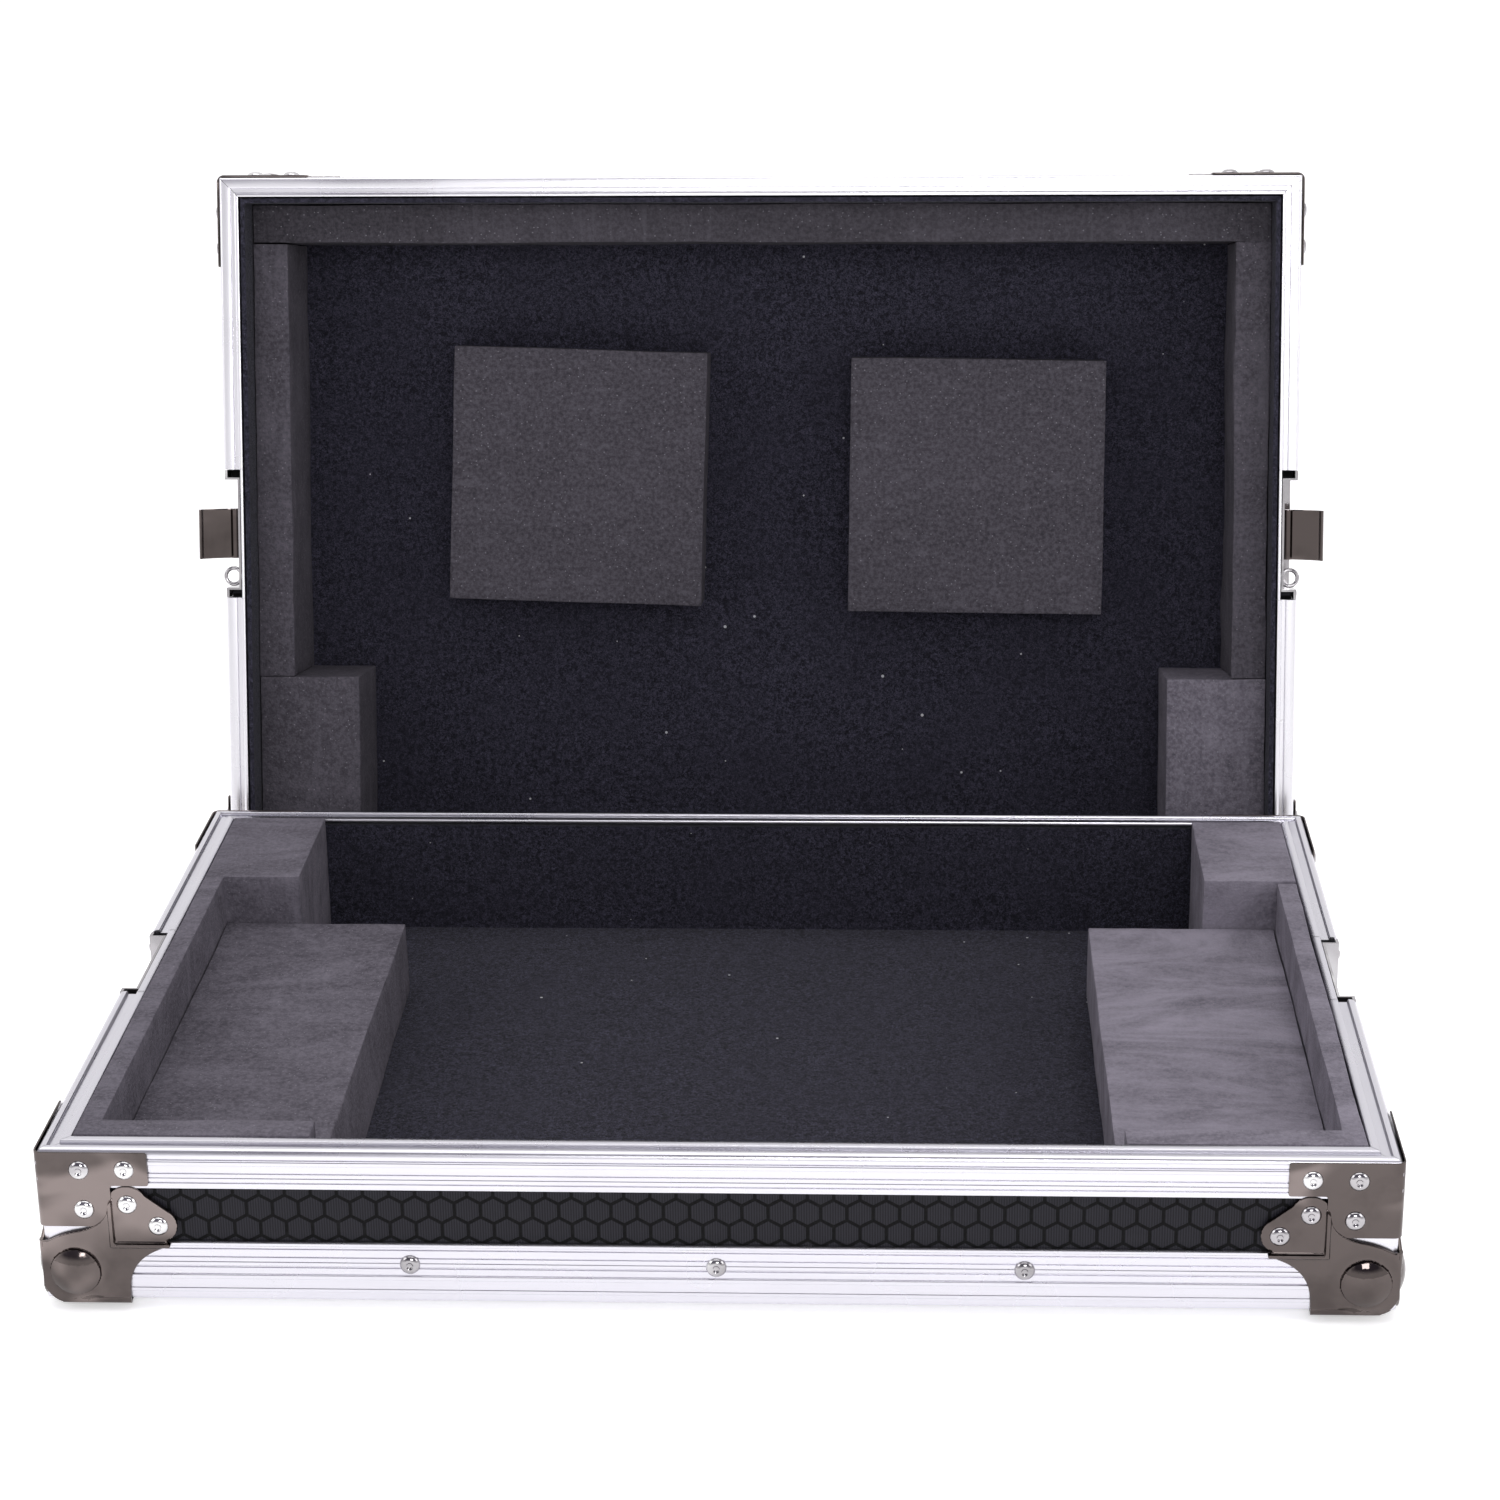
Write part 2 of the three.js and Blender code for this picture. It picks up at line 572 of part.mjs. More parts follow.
// foam in the lid: given from its left side, up from its rear edge as it stands, and in depth
const LID_FOAM_FACE = 21;      // face of the strips and blocks, in from the rim
const PAD_FACE = 49.5;
const PAD = 148;
const lidFoamIn = LID_FELT_IN + GAP;
const lidFoamBack = lidFelt - GAP;
const padAt = (left, up, turn) => {
  const geometry = new THREE.BoxGeometry(PAD, PAD, lidFoamBack - PAD_FACE);
  geometry.rotateZ(THREE.MathUtils.degToRad(turn));
  geometry.translate(-HALF + left, DEPTH - up, (lidFoamBack + PAD_FACE) / 2);
  return toSolid(geometry);
};
const lidFoam = (left0, left1, up0, up1) => inBox(
  left0, left1, DEPTH - up1, DEPTH - up0, LID_FOAM_FACE, lidFoamBack,
);
const STRIP_LOW = 118;         // foot of the side strips, head of the corner blocks
const STRIP_HIGH = 368;        // foot of the top strip
piece(lid, 'lid_foam_top_strip', lidFoam(
  lidFoamIn, WIDTH - lidFoamIn, STRIP_HIGH + GAP, DEPTH - lidFoamIn,
), foam);
piece(lid, 'lid_foam_left_strip', lidFoam(lidFoamIn, 35, STRIP_LOW + GAP, STRIP_HIGH), foam);
piece(lid, 'lid_foam_right_strip', lidFoam(577.5, WIDTH - lidFoamIn, STRIP_LOW + GAP, STRIP_HIGH), foam);
piece(lid, 'lid_foam_left_block', lidFoam(lidFoamIn, 72.5, lidFoamIn, STRIP_LOW), foam);
piece(lid, 'lid_foam_right_block', lidFoam(540.5, WIDTH - lidFoamIn, lidFoamIn, STRIP_LOW), foam);
piece(lid, 'lid_foam_left_pad', padAt(198.3, 233.2, 1.7), foam);
piece(lid, 'lid_foam_right_pad', padAt(431.2, 227.3, 0.7), foam);

const lidDish = latchDish(0, 1);
piece(lid, 'latch_dish_left', lidDish, chrome);
piece(lid, 'latch_dish_right', mirrored(lidDish, 'x'), chrome);

const wing = join([
  box(-HALF + 2.2, -HALF + 3.8, MID - 13, MID + 13, WING_UP - 4.5, WING_UP + 4.5),
  cylinder('x', 4, -HALF + 3, -HALF + LATCH_DEEP - GAP - 1.6, MID, WING_UP, 20),
]);
piece(lid, 'latch_wing_left', wing, chrome);
piece(lid, 'latch_wing_right', mirrored(wing, 'x'), chrome);

function hook() {
  const plate = join([
    box(-HALF + 3.1, -HALF + 4.5, MID - HOOK_HALF, MID + HOOK_HALF, HOOK_PIVOT_UP - HOOK_LONG, HOOK_PIVOT_UP + 1),
    box(-HALF + 3.1, -HALF + 6.4, MID - HOOK_HALF, MID + HOOK_HALF, -15.6, -14.2),
    cylinder('y', 2.2, MID - HOOK_HALF, MID + HOOK_HALF, -HALF + HOOK_PIVOT_IN, HOOK_PIVOT_UP),
  ]);
  return plate;
}

// ---------------------------------------------------------------- placing
const root = new THREE.Group();
const pivots = {};

const lean = THREE.MathUtils.degToRad(LID_LEAN);
const lowEdge = BALL_RADIUS + (LID_HEIGHT - BALL_INSET) * Math.sin(lean) - BALL_INSET * Math.cos(lean);
const pivotDrop = (RIM + CLOSED_GAP - lowEdge - PIVOT_IN * Math.cos(lean)) / (1 + Math.sin(lean));
const pivotHeight = RIM + CLOSED_GAP - pivotDrop;

const swing = new THREE.Group();
swing.position.set(0, DEPTH - PIVOT_IN, pivotHeight);
swing.rotation.x = -(Math.PI / 2 + lean);
lid.position.set(0, -(DEPTH - PIVOT_IN), pivotDrop);
swing.add(lid);

// each hook hangs in its own group at its pivot, and is turned outwards there
function placeHook(name, solid, side) {
  const holder = new THREE.Group();
  const x = side * (HALF - HOOK_PIVOT_IN);
  holder.position.set(x, MID, HOOK_PIVOT_UP);
  holder.rotation.y = -side * THREE.MathUtils.degToRad(HOOK_OPEN);
  holder.name = `${name}_pivot`;
  const mesh = piece(holder, name, solid, chrome);
  mesh.position.set(-x, -MID, -HOOK_PIVOT_UP);
  lid.add(holder);
  return holder;
}
const hookLeft = placeHook('latch_hook_left', hook(), -1);
const hookRight = placeHook('latch_hook_right', mirrored(hook(), 'x'), 1);

function marker(parent, x, y, z) {
  const empty = new THREE.Object3D();
  empty.position.set(x, y, z);
  parent.add(empty);
  return empty;
}
const markers = {
  lid: marker(swing, 0, 0, 0),
  hook_left: marker(hookLeft, 0, 0, 0),
  hook_right: marker(hookRight, 0, 0, 0),
  wing_left: marker(lid, -HALF + 3, MID, WING_UP),
  wing_right: marker(lid, HALF - 3, MID, WING_UP),
  grip: marker(lid, 0, HANDLE_AXIS_IN, HANDLE_AXIS_UP),
  base: marker(base, 0, MID, wallFoot),
  lid_corner: marker(lid, -HALF, DEPTH, 0),
};

const stage = new THREE.Group();
stage.add(base, swing);
stage.updateMatrixWorld(true);
const found = new THREE.Box3().setFromObject(stage, true);
const centre = found.getCenter(new THREE.Vector3());
stage.position.set(-centre.x, -centre.y, -found.min.z);
stage.updateMatrixWorld(true);

stage.traverse((object) => {
  if (object.isMesh) {
    const placed = new THREE.Mesh(object.geometry.clone().applyMatrix4(object.matrixWorld), object.material);
    placed.name = object.name;
    root.add(placed);
  }
});
Object.entries(markers).forEach(([name, object]) => {
  pivots[name] = object.getWorldPosition(new THREE.Vector3()).toArray();
});
root.userData.pivots = pivots;

export default root;
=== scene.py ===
"""An open flight case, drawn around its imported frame: the base tray in front and the lid behind it.

Lengths are in millimetres in the closed case's own coordinates, with x = 0 on its centre line and
y = 0 at its front face. BASE and LID are the matrices that take them to the frame, in metres.
"""

import json
import math

import bmesh
import bpy
from mathutils import Matrix, Vector, noise


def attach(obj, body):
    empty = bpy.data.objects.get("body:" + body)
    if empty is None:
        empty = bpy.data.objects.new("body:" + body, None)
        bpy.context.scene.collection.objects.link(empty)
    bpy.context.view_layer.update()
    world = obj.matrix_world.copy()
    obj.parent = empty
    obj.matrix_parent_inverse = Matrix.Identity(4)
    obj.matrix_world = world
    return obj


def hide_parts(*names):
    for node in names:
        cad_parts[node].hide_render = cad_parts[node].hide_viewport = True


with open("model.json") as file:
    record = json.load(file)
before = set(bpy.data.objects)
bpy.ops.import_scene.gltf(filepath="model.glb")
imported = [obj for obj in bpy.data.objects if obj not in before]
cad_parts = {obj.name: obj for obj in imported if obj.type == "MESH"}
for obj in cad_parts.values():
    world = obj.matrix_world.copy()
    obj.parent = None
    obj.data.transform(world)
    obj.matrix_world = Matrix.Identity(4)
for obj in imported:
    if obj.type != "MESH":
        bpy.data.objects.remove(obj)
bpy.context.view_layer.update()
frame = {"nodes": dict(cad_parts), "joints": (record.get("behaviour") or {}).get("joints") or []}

# ------------------------------------------------------------------ sizes, as in the frame
WIDTH, DEPTH, HALF, MID = 612.0, 405.0, 306.0, 202.5
RIM, LID_HEIGHT = 81.0, 93.0
FOOT = 4.5                     # underside of the edge angle above the floor
VALANCE, ANGLE, SHEET = 19.4, 30.0, 1.8
LEAN = math.radians(13.5)
NOTCH = 36.8                   # half the length of the gap for a latch
BALL_RADIUS, BALL_CENTRE = 19.5, Vector((14.0, 14.0, 15.0))
PIVOT_IN, CLOSED_GAP = 9.0, 0.5

joints = {j["name"]: j for j in frame["joints"]}
pole = Vector(joints["lid_swing"]["pos_m"])
SHIFT = pole.y - (DEPTH - PIVOT_IN) / 1000
DROP = (RIM + CLOSED_GAP) / 1000 - pole.z
TURN = -(math.pi / 2 + LEAN)
BASE = Matrix.Translation((0, SHIFT, 0))
LID = (Matrix.Translation(pole) @ Matrix.Rotation(TURN, 4, "X")
       @ Matrix.Translation((0, -(DEPTH - PIVOT_IN) / 1000, DROP)))
PLACE = {"base": BASE, "lid": LID}
MM = Matrix.Scale(0.001, 4)


# ------------------------------------------------------------------ materials
def shade(color, factor, most=1.0):
    """A colour made darker or brighter, with its alpha."""
    return tuple(min(most, factor * c) for c in color[:3]) + (1,)


class Nodes:
    """A new material with short calls for its nodes, in its part's own coordinates."""

    def __init__(self, name, part="base"):
        self.material = bpy.data.materials.new(name)
        self.material.use_nodes = True
        self.tree = self.material.node_tree
        self.shader = self.tree.nodes["Principled BSDF"]
        coords = self.add("ShaderNodeTexCoord").outputs["Object"]
        if part == "lid":
            turn = self.add("ShaderNodeMapping")
            turn.vector_type = "POINT"
            turn.inputs["Rotation"].default_value = (-TURN, 0, 0)
            self.link(coords, turn.inputs["Vector"])
            coords = turn.outputs["Vector"]
        self.coords = coords

    def add(self, kind, **settings):
        node = self.tree.nodes.new(kind)
        for key, value in settings.items():
            setattr(node, key, value)
        return node

    def link(self, source, target):
        self.tree.links.new(source, target)

    def feed(self, socket, value):
        if isinstance(value, (int, float, tuple)):
            socket.default_value = value
        else:
            self.link(value, socket)

    def math(self, operation, *values):
        node = self.add("ShaderNodeMath", operation=operation)
        for socket, value in zip(node.inputs, values):
            self.feed(socket, value)
        return node.outputs[0]

    def vector(self, operation, *values, out=0):
        node = self.add("ShaderNodeVectorMath", operation=operation)
        for socket, value in zip(node.inputs, values):
            self.feed(socket, value)
        return node.outputs[out]

    def scaled(self, scale, rotation=(0, 0, 0)):
        node = self.add("ShaderNodeMapping")
        node.inputs["Scale"].default_value = scale
        node.inputs["Rotation"].default_value = rotation
        self.link(self.coords, node.inputs["Vector"])
        return node.outputs["Vector"]

    def noise(self, scale, detail=3, roughness=0.5, vector=None, distortion=0.0):
        node = self.add("ShaderNodeTexNoise")
        node.inputs["Scale"].default_value = scale
        node.inputs["Detail"].default_value = detail
        node.inputs["Roughness"].default_value = roughness
        node.inputs["Distortion"].default_value = distortion
        self.link(self.coords if vector is None else vector, node.inputs["Vector"])
        return node.outputs["Fac"]

    def voronoi(self, scale, out="Distance"):
        node = self.add("ShaderNodeTexVoronoi")
        node.inputs["Scale"].default_value = scale
        self.link(self.coords, node.inputs["Vector"])
        return node.outputs[out]

    def remap(self, value, low, high, to_low=0.0, to_high=1.0, smooth=True):
        node = self.add("ShaderNodeMapRange")
        node.interpolation_type = "SMOOTHSTEP" if smooth else "LINEAR"
        self.link(value, node.inputs["Value"])
        for key, number in (("From Min", low), ("From Max", high), ("To Min", to_low), ("To Max", to_high)):
            node.inputs[key].default_value = number
        return node.outputs["Result"]

    def mix(self, factor, first, second):
        node = self.add("ShaderNodeMix", data_type="RGBA")
        self.feed(node.inputs["Factor"], factor)
        self.feed(node.inputs[6], first)
        self.feed(node.inputs[7], second)
        return node.outputs[2]

    def bump(self, height, distance, strength=1.0, under=None):
        node = self.add("ShaderNodeBump")
        node.inputs["Distance"].default_value = distance
        node.inputs["Strength"].default_value = strength
        self.link(height, node.inputs["Height"])
        if under is not None:
            self.link(under, node.inputs["Normal"])
        return node.outputs["Normal"]

    def finish(self, color=None, roughness=None, normal=None, **constants):
        if color is not None:
            self.feed(self.shader.inputs["Base Color"], color)
        if roughness is not None:
            self.feed(self.shader.inputs["Roughness"], roughness)
        if normal is not None:
            self.link(normal, self.shader.inputs["Normal"])
        for key, value in constants.items():
            self.shader.inputs[key.replace("_", " ")].default_value = value
        return self.material


def aluminium(name, part, stretch, tone):
    """Satin anodised extrusion: faint draw lines along its length, small marks and handling smears."""
    n = Nodes(name, part)
    lines = n.noise(1.0, 2, 0.5, n.scaled(stretch))
    smear = n.noise(14.0, 3, 0.55)
    marks = n.noise(150.0, 3, 0.7)
    color = n.mix(n.remap(lines, 0.25, 0.75), shade(tone, 0.97), shade(tone, 1))
    color = n.mix(n.remap(smear, 0.50, 0.75, 0, 0.3), color, shade(tone, 0.88))
    color = n.mix(n.remap(marks, 0.68, 0.76, 0, 0.5), color, shade(tone, 0.7))
    rough = n.remap(smear, 0.3, 0.7, 0.25, 0.31)
    normal = n.bump(lines, 0.00002, 0.25)
    return n.finish(color, rough, normal, Metallic=1.0)


# The default tint is far darker than plating: a painted dark reflection of dark surroundings.
def chrome(name, tint=(0.105, 0.088, 0.084, 1), base_rough=0.05):
    """Plated steel, darkened by its tint as a painted dark reflection, with a thin haze, fine scratches, pits
    and a few brighter patches painted in as reflections.
    """
    n = Nodes(name)
    haze = n.noise(34.0, 4, 0.6)
    fine = n.noise(1.0, 2, 0.7, n.scaled((900, 60, 900), (0.4, 0.7, 0.2)))
    pits = n.voronoi(260.0)
    painted_reflection_swirl = n.noise(1.0, 2, 0.5, n.scaled((16, 16, 26), (0.3, 0.6, 0.1)), 0.8)
    color = n.mix(n.remap(haze, 0.42, 0.7), tint, shade(tint, 0.75))
    # painted reflection: brighter swirled patches stand in for bright reflections in the plating
    color = n.mix(n.remap(painted_reflection_swirl, 0.52, 0.68, 0, 0.7), color, shade(tint, 2.6, 0.85))
    rough = n.math("ADD", n.remap(haze, 0.35, 0.75, base_rough, base_rough + 0.10),
                   n.remap(fine, 0.62, 0.75, 0.0, 0.10))
    normal = n.bump(n.remap(pits, 0.0, 0.12), 0.00004, 0.25)
    normal = n.bump(haze, 0.0006, 0.25, normal)
    return n.finish(color, rough, normal, Metallic=1.0)


HEX_PITCH, HEX_RIB = 0.0118, 0.00118     # across a cell, and from rib to rib, in metres


def laminate(name, part, plane):
    """Black laminate pressed with a honeycomb of ribbed cells between dark lines."""
    n = Nodes(name, part)
    split = n.add("ShaderNodeSeparateXYZ")
    n.link(n.coords, split.inputs[0])
    across, up = {"xz": ("X", "Z"), "yz": ("Y", "Z"), "xy": ("X", "Y")}[plane]
    join = n.add("ShaderNodeCombineXYZ")
    n.link(n.math("MULTIPLY", split.outputs[across], 1 / HEX_PITCH), join.inputs[0])
    n.link(n.math("MULTIPLY", split.outputs[up], 1 / HEX_PITCH), join.inputs[1])
    cell = (1.0, math.sqrt(3), 1.0)
    half = (0.5, math.sqrt(3) / 2, 0.5)
    # the cell's centre is the nearer one of two offset grids
    p = n.vector("ADD", join.outputs[0], (200.0, 200 * math.sqrt(3), 0.0))
    a = n.vector("SUBTRACT", n.vector("MODULO", p, cell), half)
    b = n.vector("SUBTRACT", n.vector("MODULO", n.vector("SUBTRACT", p, half), cell), half)
    flat = (1.0, 1.0, 0.0)
    a, b = n.vector("MULTIPLY", a, flat), n.vector("MULTIPLY", b, flat)
    nearer = n.math("LESS_THAN", n.vector("LENGTH", a, out=1), n.vector("LENGTH", b, out=1))
    pick = n.add("ShaderNodeMix", data_type="VECTOR")
    n.link(nearer, pick.inputs["Factor"])
    n.link(b, pick.inputs[4])
    n.link(a, pick.inputs[5])
    g = n.vector("ABSOLUTE", pick.outputs[1])
    slope = n.vector("DOT_PRODUCT", g, (0.5, math.sqrt(3) / 2, 0.0), out=1)
    g_split = n.add("ShaderNodeSeparateXYZ")
    n.link(g, g_split.inputs[0])
    distance = n.math("SUBTRACT", 0.5, n.math("MAXIMUM", g_split.outputs["X"], slope))
    line = n.remap(distance, 0.050, 0.085, 1.0, 0.0)
    ribs = n.math("SINE", n.math("MULTIPLY", split.outputs[across], 2 * math.pi / HEX_RIB))
    grain = n.noise(700.0, 2, 0.6)
    dust = n.noise(60.0, 4, 0.65)
    fill = n.mix(n.remap(ribs, -1, 1), (0.006, 0.006, 0.009, 1), (0.017, 0.016, 0.022, 1))
    color = n.mix(line, fill, (0.0012, 0.0012, 0.0016, 1))
    color = n.mix(n.remap(dust, 0.55, 0.8, 0, 0.2), color, (0.030, 0.029, 0.034, 1))
    rough = n.math("ADD", n.remap(line, 0, 1, 0.42, 0.75), n.remap(grain, 0.3, 0.7, -0.05, 0.05))
    height = n.math("SUBTRACT", n.math("MULTIPLY", ribs, 0.12), line)
    normal = n.bump(height, 0.00016, 0.8)
    normal = n.bump(grain, 0.00008, 0.4, normal)
    return n.finish(color, rough, normal, Specular_IOR_Level=0.16)


def felt(name, part):
    """Black needle felt: matted fibres, thin and thick places, and scattered pale lint."""
    n = Nodes(name, part)
    fibre = n.noise(820.0, 4, 0.75, None, 1.6)
    mat = n.noise(430.0, 3, 0.6, None, 0.8)
    cloud = n.noise(22.0, 3, 0.55)
    specks = n.voronoi(170.0)
    lot = n.voronoi(170.0, out="Color")
    apart = n.add("ShaderNodeSeparateColor")
    n.link(lot, apart.inputs[0])
    chosen = n.math("GREATER_THAN", apart.outputs[0], 0.955)
    size = n.math("MULTIPLY", apart.outputs[1], 0.16)
    lint = n.math("MULTIPLY", chosen, n.math("LESS_THAN", specks, size))
    dark = n.mix(n.remap(fibre, 0.36, 0.66), (0.0022, 0.0022, 0.0040, 1), (0.064, 0.061, 0.092, 1))
    dark = n.mix(n.remap(mat, 0.40, 0.66, 0, 0.75), dark, (0.0035, 0.0035, 0.0055, 1))
    color = n.mix(n.remap(cloud, 0.35, 0.72, 0, 0.3), dark, (0.022, 0.021, 0.032, 1))
    color = n.mix(lint, color, (0.42, 0.42, 0.44, 1))
    normal = n.bump(mat, 0.0007, 0.6)
    normal = n.bump(fibre, 0.0004, 0.9, normal)
    return n.finish(color, 0.95, normal, Sheen_Weight=0.06, Sheen_Roughness=0.5, Specular_IOR_Level=0.12)


def foam_look(name, part, chalky, streak, bright=1.0):
    """Closed-cell foam: fine cells, chalky rubbed smears, and streaks where a wire cut it."""
    n = Nodes(name, part)
    cells = n.voronoi(780.0)
    pores = n.voronoi(300.0)
    grain = n.noise(430.0, 4, 0.75)
    cut = n.noise(1.0, 4, 0.7, n.scaled(streak))
    smear = n.noise(1.0, 5, 0.7, n.scaled((7, 20, 14), (0.2, 0.1, 0.6)), 1.8)
    blot = n.noise(9.0, 3, 0.6)
    color = n.mix(n.remap(grain, 0.34, 0.66), shade((0.030, 0.027, 0.036), bright),
                  shade((0.098, 0.089, 0.108), bright))
    color = n.mix(n.remap(cut, 0.50, 0.74, 0, 0.5), color, shade((0.13, 0.12, 0.145), bright))
    rubbed = n.remap(smear, 0.30, 0.72, 0.30, 1.0)
    wide = n.remap(blot, 0.30, 0.62, 0.6, 1.0)
    chalk = n.math("MULTIPLY", n.math("MULTIPLY", rubbed, wide), chalky)
    color = n.mix(chalk, color, (0.285, 0.262, 0.315, 1))
    glint = n.math("LESS_THAN", pores, 0.11)
    color = n.mix(n.math("MULTIPLY", glint, 0.55), color, (0.25, 0.24, 0.27, 1))
    normal = n.bump(cells, 0.0004, 0.5)
    normal = n.bump(grain, 0.0005, 0.6, normal)
    normal = n.bump(cut, 0.0003, 0.4, normal)
    return n.finish(color, n.remap(grain, 0.3, 0.7, 0.78, 0.98), normal, Specular_IOR_Level=0.25)


def plastic(name):
    """Black moulded plastic with a fine grain and worn patches."""
    n = Nodes(name)
    grain = n.voronoi(700.0)
    worn = n.noise(30.0, 4, 0.6)
    color = n.mix(n.remap(worn, 0.45, 0.75), (0.012, 0.012, 0.013, 1), (0.030, 0.030, 0.031, 1))
    normal = n.bump(grain, 0.0002, 0.5)
    return n.finish(color, n.remap(worn, 0.3, 0.7, 0.42, 0.62), normal)


# Both parts are the same extrusion; the lid's tone is set brighter as painted light, for the light its front
# faces catch.
SATIN_LID_PAINTED_BRIGHTER = {"base": (0.68, 0.67, 0.72), "lid": (0.84, 0.83, 0.87)}
ALU = {part: (aluminium(f"alu_{part}_x", part, (5, 700, 700), SATIN_LID_PAINTED_BRIGHTER[part]),
              aluminium(f"alu_{part}_y", part, (700, 5, 700), SATIN_LID_PAINTED_BRIGHTER[part])) for part in SATIN_LID_PAINTED_BRIGHTER}
CHROME = chrome("chrome")
CHROME_BRIGHT = chrome("chrome_bright", (0.44, 0.425, 0.44, 1), 0.10)
BLACK = plastic("black_plastic")
FELT = {part: felt(f"felt_{part}", part) for part in ("base", "lid")}
HEX = {(part, plane): laminate(f"laminate_{part}_{plane}", part, plane)
       for part in ("base", "lid") for plane in ("xy", "xz", "yz")}


# ------------------------------------------------------------------ mesh helpers
def placed(name, data):
    """A new object in the scene."""
    obj = bpy.data.objects.new(name, data)
    bpy.context.scene.collection.objects.link(obj)
    return obj


def evaluated(obj):
    """A bmesh of an object with its modifiers."""
    graph = bpy.context.evaluated_depsgraph_get()
    graph.update()
    out = bmesh.new()
    out.from_mesh(obj.evaluated_get(graph).to_mesh())
    return out


def join_rings(bm, rings):
    """Closed walls from ring to ring, with a cap on the first and the last."""
    faces = []
    count = len(rings[0])
    for a, b in zip(rings, rings[1:]):
        faces += [bm.faces.new((a[i], a[(i + 1) % count], b[(i + 1) % count], b[i])) for i in range(count)]
    return faces + [bm.faces.new(rings[0]), bm.faces.new(rings[-1])]


def sharpen(mesh, degrees=32):
    """Smooth shading with the real edges kept sharp."""
    bm = bmesh.new()
    bm.from_mesh(mesh)
    limit = math.radians(degrees)
    for face in bm.faces:
        face.smooth = True
    for edge in bm.edges:
        edge.smooth = len(edge.link_faces) == 2 and edge.calc_face_angle(0) < limit
    bm.to_mesh(mesh)
    bm.free()


def piece(name, bm, part, material, body=None, smooth=32, nodes=()):
    """Makes an object of a bmesh drawn in closed millimetres and hangs it on its body."""
    bmesh.ops.recalc_face_normals(bm, faces=bm.faces)
    bm.transform(PLACE[part] @ MM)
    mesh = bpy.data.meshes.new(name)
    bm.to_mesh(mesh)
    bm.free()
    sharpen(mesh, smooth)
    for one in (material if isinstance(material, (list, tuple)) else [material]):
        mesh.materials.append(one)
    obj = placed(name, mesh)
    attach(obj, body or part)
    if nodes:
        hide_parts(*nodes)
    return obj


SIDES = ("front", "right", "rear", "left")


def on_side(side, t, s, z):
    """A point t along a side, s in from its outer face, z up. Sides run anticlockwise from above."""
    return {
        "front": Vector((-HALF + t, s, z)),
        "right": Vector((HALF - s, t, z)),
        "rear": Vector((HALF - t, DEPTH - s, z)),
        "left": Vector((-HALF + s, DEPTH - t, z)),
    }[side]


def run_of(side):
    """The length of a side."""
    return WIDTH if side in ("front", "rear") else DEPTH


def extrude_section(bm, side, section, t0, t1, mitre0=False, mitre1=False, material=0):
    """A rail along a side from t0 to t1, its ends square or mitred."""
    rings = []
    for at, mitre, sign in ((t0, mitre0, 1), (t1, mitre1, -1)):
        rings.append([bm.verts.new(on_side(side, at + (sign * s if mitre else 0), s, z)) for s, z in section])
    for face in join_rings(bm, rings):
        face.material_index = material


def arc(cu, cv, radius, start, end, steps):
    """Points of an arc, with its angles in degrees."""
    angles = (math.radians(start + (end - start) * i / steps) for i in range(steps + 1))
    return [(cu + radius * math.cos(a), cv + radius * math.sin(a)) for a in angles]


# ------------------------------------------------------------------ extrusions
# Outer faces as (down from the free edge, in from the outside).
VALANCE_FACE = [
    (19.4, 0.5), (19.1, 0.05), (16.6, 0.05), (16.4, 0.65), (15.8, 0.65), (15.5, -0.2), (14.0, -0.2),
    (13.7, 0.1), (11.9, 0.1), (11.7, 0.7), (11.1, 0.7), (10.9, 0.1), (7.8, 0.1), (7.5, -0.2), (5.9, -0.2),
    (5.6, 0.1), (5.1, 0.1), (4.9, 0.7), (4.4, 0.7), (4.2, 0.0),
]
ANGLE_FACE = [
    (0.0, 1.1), (0.1, 0.5), (0.4, -0.1), (1.6, -0.1), (1.9, 0.1), (2.6, 0.1), (2.8, 0.7), (3.3, 0.7),
    (3.5, 0.1), (6.8, 0.1), (7.0, 0.7), (7.5, 0.7), (7.7, 0.1), (9.7, 0.1), (10.0, -0.2), (11.6, -0.2),
    (11.9, 0.1), (12.1, 0.7), (12.7, 0.7), (12.9, 0.1), (15.6, 0.1), (15.8, 0.7), (16.3, 0.7), (16.5, 0.1),
    (16.8, -0.2), (18.4, -0.2), (18.7, 0.1), (23.2, 0.1), (23.5, -0.2), (25.0, -0.2), (25.3, 0.1), (27.0, 0.1),
]


def base_rim_section():
    """The base's rim in (in from the outside, z), with the shallow groove on its closing face."""
    outer = [(s, RIM - down) for down, s in VALANCE_FACE]
    return outer + arc(3.4, RIM - 3.4, 3.4, 180, 90, 8) + [
        (4.2, RIM), (4.5, RIM - 0.25), (4.7, RIM - 0.8), (4.8, RIM - 1.6), (9.0, RIM - 1.6),
        (9.15, RIM - 0.7), (9.4, RIM - 0.15), (9.8, RIM), (12.9, RIM), (13.3, RIM - 0.15), (13.5, RIM - 0.5),
        (13.5, RIM - 1.4), (13.2, RIM - 1.7), (9.3, RIM - 3.2), (9.1, RIM - 8), (1.9, RIM - 8),
        (1.9, RIM - VALANCE),
    ]


def base_lip_section():
    """The inner edge of the base's rim, which runs on past a latch."""
    return [(9.3, RIM - 3.2), (9.3, RIM - 0.5), (9.5, RIM - 0.15), (9.8, RIM), (12.9, RIM), (13.3, RIM - 0.15),
            (13.5, RIM - 0.5), (13.5, RIM - 1.4), (13.2, RIM - 1.7)]


